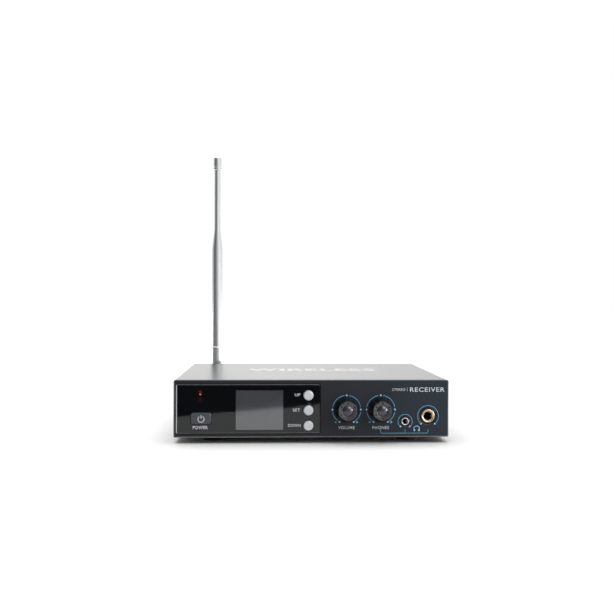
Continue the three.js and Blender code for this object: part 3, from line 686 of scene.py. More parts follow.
def boardFinish():
    # green solder mask over copper tracks that run both ways
    finish, tree, shader = newFinish("circuitBoard", IOR=1.5)
    place = addNode(tree, "ShaderNodeTexCoord").outputs["Object"]
    tracks = addNode(tree, "ShaderNodeTexBrick", {
        "Vector": place, "Scale": 140.0, "Mortar Size": 0.03, "Mortar Smooth": 0.3,
        "Color1": (0.010, 0.075, 0.036, 1), "Color2": (0.014, 0.090, 0.044, 1),
        "Mortar": (0.030, 0.150, 0.075, 1),
    })
    cloudy = mixColours(tree, mapRange(tree, grain(tree, 18), 0.3, 0.7, 0.0, 0.35),
                        tracks.outputs["Color"], (0.008, 0.055, 0.028))
    tree.links.new(cloudy, shader.inputs["Base Color"])
    tree.links.new(mapRange(tree, grain(tree, 1.5), 0.3, 0.7, 0.28, 0.45), shader.inputs["Roughness"])
    relief = addNode(tree, "ShaderNodeBump", {
        "Strength": 0.4, "Distance": 0.00003, "Height": tracks.outputs["Fac"],
    })
    tree.links.new(relief.outputs[0], shader.inputs["Normal"])
    return finish


finishes = {
    "panel_finish": panelFinish, "case_paint": casePaint, "lens_acrylic": lensAcrylic,
    "screen": screenGlass, "led": ledRed, "power_key": powerKeySatin, "key_silver": keySilver,
    "knob_plastic": knobBlack, "rubber": rubber, "zinc_steel": zincSteel, "black_steel": blackSteel,
    "black_plastic": blackPlastic, "circuit_board": boardFinish(), "nickel": nickel, "brass": brass,
    "antenna_metal": antennaMetal,
}
for part in frame["record"]["subparts"]:
    for holder in frame["nodes"][part["node"]].material_slots:
        holder.material = finishes[part["material_slot"]]
print("finishes made:", len(finishes))


# Ink, drawn flat in X and Z and laid on a face

inkLayer = {"thickness": 0.05, "sink": 0.01, "spacing": 1.14}


def onFront(mesh, surface=0.0):
    upright = Matrix.Rotation(math.pi / 2, 4, "X")
    mesh.transform(Matrix.Translation((0, surface - inkLayer["sink"], 0)) @ upright)
    return weld(mesh)


def drawLines(paths, width, ink, surface=0.0):
    return onFront(grow(inkLines, lineMesh(paths), {
        "Width": width, "Thickness": inkLayer["thickness"], "Ink": ink,
    }), surface)


def drawDots(points, radius, ink):
    flat = pointMesh([(x, z, 0) for x, z in points])
    return onFront(grow(inkDots, flat, {
        "Radius": radius, "Thickness": inkLayer["thickness"], "Ink": ink,
    }))


def label(words, x, z, width, height, weight=0.0):
    # lettering fitted to a width and a capital height, centred on x and z
    curve = bpy.data.curves.new("label", "FONT")
    curve.body = words
    curve.size = 10
    curve.offset = weight
    curve.space_character = inkLayer["spacing"]
    curve.extrude = inkLayer["thickness"] / 2
    curve.resolution_u = 4
    mesh = takeMesh(bpy.data.objects.new("label", curve))
    xs = [vert.co.x for vert in mesh.vertices]
    ys = [vert.co.y for vert in mesh.vertices]
    scale = (width / (max(xs) - min(xs)), height / (max(ys) - min(ys)), 1, 1)
    centre = (-(max(xs) + min(xs)) / 2, -(max(ys) + min(ys)) / 2, 0)
    mesh.transform(Matrix.Translation((x, z, 0)) @ Matrix.Diagonal(scale) @ Matrix.Translation(centre))
    return mesh


def lettering(rows, surface=0.0):
    return combine(*[onFront(label(*row), surface) for row in rows])


# Case

frontPanel = {"corner": 1.2, "chamfer": 0.45, "pocketDepth": 1.8, "lensCorner": 1.3, "smallHole": 4.1,
              "largeHole": 6.7, "dialHole": 3.8, "keyHole": 4.05, "ledHole": 1.9, "webMargin": 1,
              "webCorner": 2, "windowGap": 0.7, "windowCorner": 1}
lensPlate = {"edge": 0.18, "screenSide": 4.9, "screenEnd": 2.9, "screenCorner": 0.5, "screenFront": 0.03,
             "screenBack": 0.05}
keyNodes = ("up_key", "set_key", "down_key")
lensLow, lensHigh = extent("display_lens")
lensMiddle = middle("display_lens")
powerLow, powerHigh = extent("power_key")
powerMiddle = middle("power_key")
keyFlange = 0.9
powerWidth = powerHigh.x - powerLow.x - 2 * keyFlange
powerHeight = powerHigh.z - powerLow.z - 2 * keyFlange
powerCorner = 2.0
moduleLow, moduleHigh = extent("display_module")
screenWidth = moduleHigh.x - moduleLow.x - 2 * lensPlate["screenSide"]
screenHeight = moduleHigh.z - moduleLow.z - 2 * lensPlate["screenEnd"]
screenMiddle = middle("display_module")


def keyHoles():
    holes = [roundedRectangle(powerMiddle.x, powerMiddle.z, powerWidth + 2 * clearance,
                              powerHeight + 2 * clearance, powerCorner + clearance)]
    for node in keyNodes:
        holes.append(circlePoints(middle(node).x, middle(node).z, frontPanel["keyHole"]))
    return holes


def makeFrontPanel():
    back = caseHigh.y
    lensWidth, lensHeight = lensHigh.x - lensLow.x, lensHigh.z - lensLow.z
    pocket = roundedRectangle(lensMiddle.x, lensMiddle.z, lensWidth + 2 * clearance,
                              lensHeight + 2 * clearance, frontPanel["lensCorner"] + clearance)
    outlines = [
        roundedRectangle(0, caseHeight / 2, caseWidth, caseHeight, frontPanel["corner"]),
        pocket,
    ]
    holes = {"small_jack_sleeve": "smallHole", "large_jack_sleeve": "largeHole",
             "volume_shaft": "dialHole", "phones_shaft": "dialHole"}
    for node, hole in holes.items():
        outlines.append(circlePoints(middle(node).x, middle(node).z, frontPanel[hole]))
    face = plate(outlines, 0, back, frontPanel["chamfer"])
    margin = 2 * frontPanel["webMargin"]
    web = roundedRectangle(lensMiddle.x, lensMiddle.z, lensWidth + margin, lensHeight + margin,
                           frontPanel["webCorner"])
    windowGap = 2 * frontPanel["windowGap"]
    window = roundedRectangle(screenMiddle.x, screenMiddle.z, screenWidth + windowGap,
                              screenHeight + windowGap, frontPanel["windowCorner"])
    led = circlePoints(middle("power_led").x, middle("power_led").z, frontPanel["ledHole"])
    webPlate = plate([web, window, led, *keyHoles()], frontPanel["pocketDepth"], back - 0.1)
    addPiece("frontPanel", combine(face, webPlate), "case", panelFinish, ["front_panel"])


def makeLens():
    outline = roundedRectangle(lensMiddle.x, lensMiddle.z, lensHigh.x - lensLow.x,
                               lensHigh.z - lensLow.z, frontPanel["lensCorner"])
    lens = plate([outline, *keyHoles()], lensLow.y, lensHigh.y, lensPlate["edge"])
    addPiece("displayLens", lens, "case", lensAcrylic, ["display_lens"])
    window = roundedRectangle(screenMiddle.x, screenMiddle.z, screenWidth, screenHeight,
                              lensPlate["screenCorner"])
    glass = plate([window], lensLow.y - lensPlate["screenFront"], lensLow.y + lensPlate["screenBack"])
    addPiece("screenWindow", glass, "case", screenGlass)


makeFrontPanel()
makeLens()

cover = {"sheet": 1.2, "bend": 1.8, "front": 4.3, "edge": 0.15, "tabBottom": 32, "tabHalf": 5,
         "ventCount": 9, "ventStart": 57.2, "ventPitch": 6, "ventWidth": 2.4, "ventLow": 20, "ventHigh": 34,
         "ventPast": 4}


def makeTopCover():
    half = caseWidth / 2
    sheet, bend = cover["sheet"], cover["bend"]
    outside = arcPoints(half - bend, caseHeight - bend, bend, 0, 90, 10)
    outside += arcPoints(bend - half, caseHeight - bend, bend, 90, 180, 10)
    inside = arcPoints(bend - half, caseHeight - bend, bend - sheet, 180, 90, 10)
    inside += arcPoints(half - bend, caseHeight - bend, bend - sheet, 90, 0, 10)
    outline = [(half, 0), *outside, (-half, 0), (sheet - half, 0), *inside, (half - sheet, 0)]
    shell = plate([outline], cover["front"], caseDepth, cover["edge"], 1)
    slotHeight = cover["ventHigh"] - cover["ventLow"]
    shell = grow(vents, shell, {
        "Count": cover["ventCount"], "Pitch": (0, cover["ventPitch"], 0),
        "Start": (-half - cover["ventPast"], cover["ventStart"], cover["ventLow"] + slotHeight / 2),
        "Width": cover["ventWidth"], "Height": float(slotHeight),
        "Reach": (caseWidth + 2 * cover["ventPast"], 0, 0), "Finish": casePaint,
    })
    tabs = []
    tabBack = caseDepth - sheet - clearance
    for node in ("rear_screw_left", "rear_screw_right"):
        x = middle(node).x
        low = (x - cover["tabHalf"], tabBack - sheet, cover["tabBottom"])
        tabs.append(block(low, (x + cover["tabHalf"], tabBack, caseHeight - sheet / 2)))
    addPiece("topCover", combine(shell, *tabs), "case", casePaint, ["top_cover"])


makeTopCover()

foot = {"topRadius": 9.25, "baseRadius": 8.4, "pocket": 3.7, "shelf": 2.2, "hole": 1.8}


def makeFeet():
    height = -floorLevel
    top = height - clearance
    base = [
        [foot["hole"], foot["shelf"]], [foot["pocket"], foot["shelf"]], [foot["pocket"], 0],
        [foot["baseRadius"] - 0.4, 0], [foot["baseRadius"], 0.5], [foot["baseRadius"] + 0.35, 2.2],
        [foot["topRadius"] - 0.25, 2.4], [foot["topRadius"], height - 0.9],
        [foot["topRadius"] - 0.3, top], [foot["hole"], top],
    ]
    master = bpy.data.objects.new("footMaster", soften(lathe(base, axis="Z", steps=56), 0.15))
    bpy.context.scene.collection.objects.link(master)
    nodes = [f"foot_{row}_{side}" for row in ("front", "rear") for side in ("left", "right")]
    places = [(middle(node).x, middle(node).y, floorLevel) for node in nodes]
    feet = grow(copies, pointMesh(places, [(0, 0, 1)] * 4), {"Copied": master, "Finish": rubber})
    bpy.data.objects.remove(master)
    addPiece("rubberFeet", feet, "case", rubber, nodes)


makeFeet()

screw = {"radius": 1.5, "head": 2.7, "height": 1.6, "slot": 0.7, "arm": 1.55, "deep": 1.0,
         "longShank": 5.9, "shortShank": 2.9}


def screwMaster(shank):
    # pan head with a crosswise recess; the seat is at zero and the head points along +Z
    head = screw["head"]
    top = screw["height"]
    profile = [[0, top], [head * 0.45, top - 0.05], [head * 0.8, top - 0.35], [head * 0.97, top - 0.9],
               [head, 0], [screw["radius"], 0], [screw["radius"], 0.3 - shank],
               [screw["radius"] - 0.4, -shank], [0, -shank]]
    body = soften(lathe(profile, axis="Z", steps=32), 0.08, 1)
    half = screw["slot"] / 2
    for across, along in ((half, screw["arm"]), (screw["arm"], half)):
        body = carve(body, block((-across, -along, top - screw["deep"]), (across, along, top + 1)))
    master = bpy.data.objects.new("screwMaster", body)
    bpy.context.scene.collection.objects.link(master)
    return master


def screwSeat(node, facing):
    # where the seat of a head is: its box's far side, less the head's height
    low, high = extent(node)
    place = (low + high) / 2
    reach = {True: high, False: low}[sum(facing) > 0]
    axis = [abs(part) for part in facing].index(1)
    place[axis] = reach[axis] - facing[axis] * screw["height"]
    return place


def makeScrews():
    corners = [f"{row}_{side}" for row in ("front", "rear") for side in ("left", "right")]
    outward = {"left": (-1, 0, 0), "right": (1, 0, 0)}
    caseNodes = {f"cover_screw_{name}": outward[name.split("_")[1]] for name in corners}
    caseNodes.update({f"rear_screw_{side}": (0, 1, 0) for side in outward})
    innerNodes = {f"foot_screw_{name}": (0, 0, -1) for name in corners}
    innerNodes.update({f"board_screw_{name}": (0, 0, 1) for name in corners})
    panelNodes = {f"panel_screw_{side}": (0, 1, 0) for side in outward}
    sets = {
        "caseScrews": (caseNodes, "longShank", "black_steel", blackSteel),
        "innerScrews": (innerNodes, "longShank", "zinc_steel", zincSteel),
        "panelScrews": (panelNodes, "shortShank", "zinc_steel", zincSteel),
    }
    for name, (nodes, length, slot, finish) in sets.items():
        master = screwMaster(screw[length])
        places = [screwSeat(node, facing) for node, facing in nodes.items()]
        screws = grow(copies, pointMesh(places, nodes.values()), {"Copied": master, "Finish": finish})
        addPiece(name, screws, "case", finish, nodes)
        bpy.data.objects.remove(master)


makeScrews()
print("case made")


# Keys

key = {"radius": 3.75, "round": 0.75, "flangeThickness": 0.8, "stem": 1.7}
keyFront = extent("up_key")[0].y
panelBack = caseHigh.y + clearance


def makeRoundKeys():
    radius, edge = key["radius"], key["round"]
    profile = [[0, keyFront + 0.12], [radius * 0.45, keyFront + 0.07], [radius - edge - 0.25, keyFront]]
    for step in range(7):
        angle = math.radians(90 * step / 6)
        profile.append([radius - edge + edge * math.sin(angle), keyFront + edge - edge * math.cos(angle)])
    flange = panelBack + key["flangeThickness"]
    stemEnd = extent("up_key")[1].y
    profile += [[radius, panelBack], [radius + keyFlange, panelBack], [radius + keyFlange, flange],
                [key["stem"], flange], [key["stem"], stemEnd], [0, stemEnd]]
    for name in ("up", "set", "down"):
        centre = middle(f"{name}_key")
        mesh = lathe(profile, (centre.x, 0, centre.z))
        addPiece(f"{name}Key", mesh, f"{name}_button", keySilver, [f"{name}_key"])


powerSymbol = {"radius": 2.35, "width": 0.62, "drop": -0.45, "gap": 33, "barLow": 0.7, "barHigh": 3.0}


def makePowerKey():
    x, z = powerMiddle.x, powerMiddle.z
    cap = plate([roundedRectangle(x, z, powerWidth, powerHeight, powerCorner)],
                keyFront, panelBack + 0.4, 0.55, 4)
    rim = roundedRectangle(x, z, powerWidth + 2 * keyFlange, powerHeight + 2 * keyFlange, powerCorner)
    flange = plate([rim], panelBack, panelBack + key["flangeThickness"], 0.1, 1)
    stemEnd = extent("power_key")[1].y
    stem = lathe([[0, panelBack], [key["stem"], panelBack], [key["stem"], stemEnd], [0, stemEnd]], (x, 0, z))
    whole = combine(cap, flange, stem)
    addPiece("powerKey", whole, "power_button", powerKeySatin, ["power_key"])
    centreZ = z + powerSymbol["drop"]
    ring = arcPoints(x, centreZ, powerSymbol["radius"], 90 + powerSymbol["gap"], 450 - powerSymbol["gap"], 36)
    bar = [(x, centreZ + powerSymbol["barLow"]), (x, centreZ + powerSymbol["barHigh"])]
    drawn = drawLines([ring, bar], powerSymbol["width"], whiteInk, keyFront)
    addPiece("powerSymbol", drawn, "power_button", whiteInk)


makeRoundKeys()
makePowerKey()
print("keys made")


# Dials

knob = {"base": 9.5, "face": 7.5, "back": -0.8, "skirtFront": -9.4, "cavity": 6.6, "cavityFloor": -3.8,
        "bore": 3.3, "boreEnd": -9.0, "edge": 0.4, "dome": 4.0, "domeRise": 1.25, "ringInside": 4.2,
        "ringOutside": 7.3, "ringBack": 0.4, "dish": 0.5, "flutes": 6.0, "fluteDepth": 0.75,
        "ringFluteDepth": 0.4, "dimpleReach": 5.75, "dimpleRadius": 0.8, "dimpleDepth": 0.7}
ringStart = knob["skirtFront"] + 0.1        # the face ring and the dome sink this far into the skirt


def knobSkirt():
    # a fluted skirt, hollow behind
    front, face, base = knob["skirtFront"], knob["face"], knob["base"]
    start, end = front + 0.35, knob["back"] - knob["edge"]
    side = []
    for step in range(13):
        share = step / 12
        side.append([face + (base - face) * share ** 0.85, start + (end - start) * share])
    profile = [[0, front], [face - knob["edge"], front], *side, [base - 0.1, knob["back"]],
               [knob["cavity"], knob["back"]], [knob["cavity"], knob["cavityFloor"]],
               [knob["bore"], knob["cavityFloor"]], [knob["bore"], knob["boreEnd"]], [0, knob["boreEnd"]]]
    return grow(flutes, lathe(profile, steps=144), {
        "Count": knob["flutes"], "Depth": knob["fluteDepth"], "Inside": knob["cavity"] + 0.1,
        "Outside": face + 0.4, "Narrow": 0.35, "Finish": knobBlack,
    })


def knobRing(reach):
    # the dished face round the dome, with a dimple between each two flutes
    inside, outside = knob["ringInside"], knob["ringOutside"]
    front, dish = reach + knob["ringBack"], knob["dish"]
    rows = [[inside, ringStart], [inside, front + dish + 0.15], [inside + 0.2, front + dish]]
    for step in range(1, 12):
        share = step / 12
        rows.append([inside + 0.2 + (outside - inside - 0.5) * share, front + dish * (1 - share) ** 1.5])
    rows += [[outside - 0.12, front + 0.12], [outside, front + 0.32], [outside, ringStart]]
    ring = lathe(rows, steps=144)
    sector = 2 * math.pi / knob["flutes"]
    for vert in ring.vertices:
        angle = math.atan2(vert.co.z, vert.co.x)
        radius = math.hypot(vert.co.x, vert.co.z)
        turned = angle - (round(angle / sector - 0.5) + 0.5) * sector
        away = math.hypot(radius * math.sin(turned), radius * math.cos(turned) - knob["dimpleReach"])
        if vert.co.y < knob["skirtFront"]:
            vert.co.y += knob["dimpleDepth"] * max(0, 1 - (away / knob["dimpleRadius"]) ** 2)
    return grow(flutes, ring, {
        "Count": knob["flutes"], "Depth": knob["ringFluteDepth"], "Inside": outside - 1.2,
        "Outside": outside, "Narrow": 0.5, "Finish": knobFace,
    })


def knobCap(reach, centre):
    rows = []
    for step in range(15):
        share = step / 14
        rows.append([knob["dome"] * share, reach + knob["domeRise"] * share ** 2.2])
    rows += [[knob["dome"], ringStart], [0, ringStart]]
    return lathe(rows, centre, steps=72)


def makeKnob(name):
    reach = extent(f"{name}_knob")[0].y
    centre = (middle(f"{name}_shaft").x, 0, middle(f"{name}_shaft").z)
    body = f"{name}_dial"
    skirt, ring = knobSkirt(), knobRing(reach)
    for mesh in (skirt, ring):
        mesh.transform(Matrix.Translation(centre))
    addPiece(f"{name}KnobSkirt", skirt, body, knobBlack, [f"{name}_knob"])
    addPiece(f"{name}KnobFace", ring, body, knobFace)
    addPiece(f"{name}KnobDome", knobCap(reach, centre), body, knobDome)


makeKnob("volume")
makeKnob("phones")
print("dials made")


# Front sockets

jacks = {
    "small": {"bore": 1.8, "sleeve": 2.85, "rim": 0.32, "finish": satinNickel, "slot": "nickel",
              "bush": blackPlastic, "bushSlot": "black_plastic"},
    "large": {"bore": 3.2, "sleeve": 5.25, "rim": 0.7, "finish": brass, "slot": "brass",
              "bush": brass, "bushSlot": "brass"},
}
jackSeat = {"bushFront": 0.6, "bushEdge": 0.9, "wellLip": 0.95, "wellEdge": 1.1, "wellFloor": 1.5,
            "rimFront": 0.02, "rimBack": 0.9, "rimWidth": 0.4, "contactFront": 2.4, "contactBack": 5.4}


def makeJack(name):
    look = jacks[name]
    low, high = extent(f"{name}_jack_sleeve")
    x, z = middle(f"{name}_jack_sleeve").x, middle(f"{name}_jack_sleeve").z
    bore, sleeve, rim = look["bore"], look["sleeve"], look["rim"]
    inner = sleeve - 2 * rim
    outer = frontPanel[f"{name}Hole"] - 0.05

    def turned(profile):
        return lathe(profile, (x, 0, z), steps=72)

    profile = [[inner, low.y + rim]]
    for step in range(1, 8):
        angle = math.radians(180 * step / 8)
        profile.append([sleeve - rim - rim * math.cos(angle), low.y + rim - rim * math.sin(angle)])
    profile += [[sleeve, low.y + rim], [sleeve, high.y], [inner, high.y]]
    addPiece(f"{name}JackSleeve", turned(profile), "case", look["finish"],
             [f"{name}_jack_sleeve"])
    bushFront = low.y + jackSeat["bushFront"]
    bush = [[bore, low.y + jackSeat["bushEdge"]], [bore + 0.2, bushFront], [inner, bushFront],
            [inner, high.y], [bore, high.y]]
    addPiece(f"{name}JackBush", turned(bush), "case", look["bush"])
    around = sleeve + 0.05
    well = [[around, jackSeat["wellEdge"]], [sleeve + 0.35, jackSeat["wellLip"]],
            [outer - 0.3, jackSeat["wellFloor"]], [outer, jackSeat["wellFloor"]],
            [outer, caseHigh.y], [around, caseHigh.y]]
    addPiece(f"{name}JackWell", turned(well), "case", blackPlastic)
    rimInner, rimFront = outer - jackSeat["rimWidth"], jackSeat["rimFront"]
    edge = [[rimInner, rimFront + 0.76], [outer, rimFront + 0.36], [outer + 0.36, rimFront],
            [outer + 0.38, rimFront + 0.04], [outer + 0.02, rimFront + 0.4],
            [outer, jackSeat["rimBack"]], [rimInner, jackSeat["rimBack"]]]
    addPiece(f"{name}JackRim", turned(edge), "case", knobDome)
    leaf = block((x + bore - 0.55, jackSeat["contactFront"], z - 0.9),
                 (x + bore + 0.1, jackSeat["contactBack"], z + 0.1))
    addPiece(f"{name}JackContact", soften(leaf, 0.15), "case", look["finish"])


makeJack("small")
makeJack("large")
print("front sockets made")


# Printing on the front, the top and the back

dialPrint = {"radius": 11.0, "line": 0.5, "dot": 0.68, "gap": 9.5, "end": 150, "endGap": 7,
             "signDrop": 9.7, "signLine": 0.45, "minusStart": -9.3, "minusEnd": -7.7,
             "plusStart": 7.1, "plusEnd": 9.0, "plusHalf": 0.95}


def makeDialPrints():
    paths = []
    dots = []
    signs = []
    reach, gap = dialPrint["radius"], dialPrint["gap"]
    for name in ("volume", "phones"):
        x, z = middle(f"{name}_shaft").x, middle(f"{name}_shaft").z
        for start, end in ((gap, 90 - gap), (90 + gap, dialPrint["end"] - dialPrint["endGap"])):
            paths.append(arcPoints(x, z, reach, 90 - start, 90 - end))
            paths.append(arcPoints(x, z, reach, 90 + start, 90 + end))
        for angle in (-dialPrint["end"], -90, 0, 90, dialPrint["end"]):
            dots += arcPoints(x, z, reach, 90 - angle, 90 - angle, 1)[:1]
        level = z - dialPrint["signDrop"]
        signs.append([(x + dialPrint["minusStart"], level), (x + dialPrint["minusEnd"], level)])
        signs.append([(x + dialPrint["plusStart"], level), (x + dialPrint["plusEnd"], level)])
        plusX = x + (dialPrint["plusStart"] + dialPrint["plusEnd"]) / 2
        signs.append([(plusX, level - dialPrint["plusHalf"]), (plusX, level + dialPrint["plusHalf"])])
    addPiece("dialArcs", drawLines(paths, dialPrint["line"], blueInk), "case", blueInk)
    marks = combine(drawDots(dots, dialPrint["dot"], paleBlueInk),
                    drawLines(signs, dialPrint["signLine"], paleBlueInk))
    addPiece("dialMarks", marks, "case", paleBlueInk)


socketPrint = {
    "small_jack_sleeve": {"reach": 5.5, "low": 3.9, "side": 3.6},
    "large_jack_sleeve": {"reach": 8.1, "low": 5.95, "side": 5.3},
    "endGap": 7, "dot": 0.62, "line": 0.42, "routeLow": 3.0, "routeHigh": 5.9, "corner": 1.2,
}
headphones = {"shift": 0.1, "height": 6.3, "band": 2.25, "past": 12, "line": 0.4, "cupReach": 1.75,
              "cupDrop": 0.95, "cupWidth": 1.1, "cupHeight": 1.7, "cupCorner": 0.5}


def headphoneIcon(x, z):
    band = arcPoints(x, z, headphones["band"], -headphones["past"], 180 + headphones["past"], 20)
    cups = []
    for side in (-1, 1):
        cup = roundedRectangle(x + side * headphones["cupReach"], z - headphones["cupDrop"],
                               headphones["cupWidth"], headphones["cupHeight"], headphones["cupCorner"], 5)
        cups.append(plate([cup], -0.035, 0.01))
    return combine(drawLines([band], headphones["line"], paleBlueInk), *cups)


def makeSocketPrints():
    paths = []
    dots = []
    for node in ("small_jack_sleeve", "large_jack_sleeve"):
        x, z = middle(node).x, middle(node).z
        reach, low, side = (socketPrint[node][name] for name in ("reach", "low", "side"))
        end = math.degrees(math.atan2(low, side)) - socketPrint["endGap"]
        paths.append(arcPoints(x, z, reach, -end, 180 + end, 40))
        dots += [(x - side, z - low), (x + side, z - low)]
    # one line joins the second dial to both sockets
    smallX, largeX = middle("small_jack_sleeve").x, middle("large_jack_sleeve").x
    startX = middle("phones_shaft").x
    low, high, corner = socketPrint["routeLow"], socketPrint["routeHigh"], socketPrint["corner"]
    route = [(startX, high), *arcPoints(startX + corner, low + corner, corner, 180, 270, 6)]
    route += [*arcPoints(largeX - corner, low + corner, corner, 270, 360, 6), (largeX, high)]
    paths += [route, [(smallX, low), (smallX, high)]]
    addPiece("socketArcs", drawLines(paths, socketPrint["line"], blueInk), "case", blueInk)
    icon = headphoneIcon((smallX + largeX) / 2 + headphones["shift"], headphones["height"])
    ends = drawDots(dots, socketPrint["dot"], paleBlueInk)
    addPiece("socketMarks", combine(icon, ends), "case", paleBlueInk)


outputX = middle("line_out_left").x, middle("line_out_right").x

# words, their x and z, their width and capital height, and how much heavier than plain they are
lettersOnPanel = [
    ("VOLUME", middle("volume_shaft").x - 0.1, 7.4, 12.6, 2.4, 0.08),
    ("PHONES", middle("phones_shaft").x, 7.4, 12.8, 2.4, 0.08),
    ("STEREO", 67, 36.7, 10, 2.0),
    ("RECEIVER", 89.2, 36.7, 27.0, 3.4, 0.12),
]
lettersOnLens = [
    ("POWER", powerMiddle.x - 0.6, 7.9, 11.6, 2.6, 0.3),
    ("UP", -11.2, middle("up_key").z + 0.4, 4.3, 2.3, 0.15),
    ("SET", -12.0, middle("set_key").z + 0.3, 5.7, 2.3, 0.15),
    ("DOWN", -13.6, middle("down_key").z + 0.2, 9.7, 2.3, 0.15),
]
lettersOnBack = [
    ("OUTPUT", -sum(outputX) / 2, 36, 15, 2.4, 0.25),
    ("L", -outputX[0], 11.5, 1.5, 2.4, 0.25),
    ("R", -outputX[1], 11.5, 1.8, 2.4, 0.25),
    ("DC IN", -middle("power_inlet").x, 11.5, 10, 2.4, 0.25),
    ("ANTENNA", -middle("antenna_socket").x, 36, 17, 2.4, 0.25),
]
lettersOnCover = ("WIRELESS", 4, 92, 112, 24, 0.5)
wordBar = {"x": 73.6, "low": 35.3, "high": 38.3, "width": 0.22}


def makeLabels():
    bar = [(wordBar["x"], wordBar["low"]), (wordBar["x"], wordBar["high"])]
    onPanel = combine(lettering(lettersOnPanel), drawLines([bar], wordBar["width"], whiteInk))
    addPiece("panelWords", onPanel, "case", whiteInk)
    addPiece("lensWords", lettering(lettersOnLens, lensLow.y), "case", whiteInk)
    onCover = label(*lettersOnCover)
    onCover.transform(Matrix.Translation((0, 0, caseHeight + inkLayer["sink"])))
    addPiece("coverWords", weld(onCover), "case", coverInk)
    onBack = lettering(lettersOnBack)
    onBack.transform(Matrix.Translation((0, caseDepth, 0)) @ Matrix.Rotation(math.pi, 4, "Z"))
    addPiece("backWords", onBack, "case", whiteInk)


makeDialPrints()
makeSocketPrints()
makeLabels()
print("printing made")


# Rear sockets

lineOut = {"half": 8, "front": 134, "noseFront": 137, "nose": 5.6, "nut": 7.3, "grip": 6.95, "washer": 7.6,
           "washerDepth": 0.55, "bore": 3.2, "ridges": 40, "ridge": 0.42, "contact": 0.45, "contactDepth": 5}
insideWall = caseDepth - cover["sheet"] - clearance
outsideWall = caseDepth + clearance


def layBack(mesh, x, z):
    # turns a part made along Z to lie along Y, centred on x and z
    mesh.transform(Matrix.Translation((x, 0, z)) @ Matrix.Rotation(-math.pi / 2, 4, "X"))
    return mesh


def makeLineOut(side):
    node = f"line_out_{side}"
    end = extent(node)[1].y
    x, z = middle(node).x, middle(node).z
    half, bore, nose, grip = (lineOut[name] for name in ("half", "bore", "nose", "grip"))
    body = soften(block((x - half, lineOut["front"], z - half), (x + half, insideWall, z + half)), 0.4)
    barrel = lathe([[bore, lineOut["noseFront"]], [nose, lineOut["noseFront"]], [nose, end - 0.15],
                    [nose - 0.4, end], [bore + 0.3, end], [bore, end - 0.3]], (x, 0, z))
    whole = combine(body, barrel)
    addPiece(f"lineOutBody{side.title()}", whole, "case", blackPlastic, [node])
    start, nutEnd = outsideWall, end - 0.2
    nutStart = start + 0.6
    ring = [[nose + 0.02, start], [lineOut["washer"], start],
            [lineOut["washer"], start + lineOut["washerDepth"]], [grip, nutStart],
            [grip, end - 0.35], [lineOut["nut"] - 0.7, nutEnd], [nose + 0.02, nutEnd]]
    depth = end - start
    nut = grow(knurl, lathe(ring, axis="Z", steps=72), {
        "Count": lineOut["ridges"], "Radius": grip,
        "Ridge": (lineOut["ridge"], lineOut["ridge"], depth - 1.1),
        "Middle": (0, 0, nutStart + (depth - 1.0) / 2), "Finish": nickel,
    })
    addPiece(f"lineOutNut{side.title()}", layBack(nut, x, z), "case", nickel)
    outer, inner, deep = bore - 0.02, bore - lineOut["contact"], end - lineOut["contactDepth"]
    contact = lathe([[outer, end - 0.6], [inner, end - 0.9], [inner, deep], [outer, deep]], (x, 0, z))
    addPiece(f"lineOutContact{side.title()}", contact, "case", nickel)


inlet = {"radius": 5.4, "flange": 7.0, "bore": 3.1, "floor": 150, "pin": 1.0}


def makeInlet():
    low, high = extent("power_inlet")
    x, z = middle("power_inlet").x, middle("power_inlet").z
    radius, flange, bore, floor, pin = (inlet[name] for name in ("radius", "flange", "bore", "floor", "pin"))
    profile = [[0, low.y], [radius, low.y], [radius, outsideWall], [flange, outsideWall],
               [flange, high.y - 0.3], [flange - 0.3, high.y], [bore + 0.4, high.y],
               [bore, high.y - 0.4], [bore, floor], [0, floor]]
    shell = soften(lathe(profile, (x, 0, z)), 0.08, 1)
    addPiece("powerInlet", shell, "case", blackPlastic, ["power_inlet"])
    contact = lathe([[0, floor - 0.5], [pin, floor - 0.5], [pin, caseDepth - 0.6],
                     [pin - 0.4, caseDepth], [0, caseDepth]], (x, 0, z), steps=32)
    addPiece("inletPin", contact, "case", nickel)


makeLineOut("left")
makeLineOut("right")
makeInlet()
print("rear sockets made")


# Antenna

mastX = middle("antenna_socket").x
mastZ = middle("antenna_socket").z
hingeY = middle("antenna_hinge_pin").y

bayonet = {"reach": 10.5, "bodyFront": 146, "body": 6.5, "neck": 5, "flange": 7.2, "flangeReach": 1.5,
           "barrel": 4.8, "bore": 3.5, "floor": 2, "contact": 0.8, "contactShort": 2, "lug": 0.9,
           "lugInner": 4.1, "lugOuter": 5.6, "lugShort": 3}
socketEnd = caseDepth + bayonet["reach"]


def makeSocket():
    body, neck, flange, barrel, bore = (
        bayonet[name] for name in ("body", "neck", "flange", "barrel", "bore"))
    front = bayonet["bodyFront"]
    flangeEnd = caseDepth + bayonet["flangeReach"]
    floor = caseDepth + bayonet["floor"]
    contact, contactEnd = bayonet["contact"], socketEnd - bayonet["contactShort"]
    profile = [[0, front], [body, front], [body, insideWall], [neck, insideWall], [neck, outsideWall],
               [flange, outsideWall], [flange, flangeEnd], [barrel, flangeEnd], [barrel, socketEnd],
               [bore, socketEnd], [bore, floor], [contact, floor], [contact, contactEnd - 0.3],
               [contact / 2, contactEnd], [0, contactEnd]]
    tube = soften(lathe(profile, (mastX, 0, mastZ), steps=72), 0.12)
    lugs = []
    for side in (-1, 1):
        low, high = sorted((side * bayonet["lugInner"], side * bayonet["lugOuter"]))
        lug = [[0, low], [bayonet["lug"], low], [bayonet["lug"], high], [0, high]]
        lugs.append(lathe(lug, (mastX, socketEnd - bayonet["lugShort"], mastZ), "Z", 24))
    addPiece("antennaSocket", combine(tube, *lugs), "case", nickel, ["antenna_socket"])


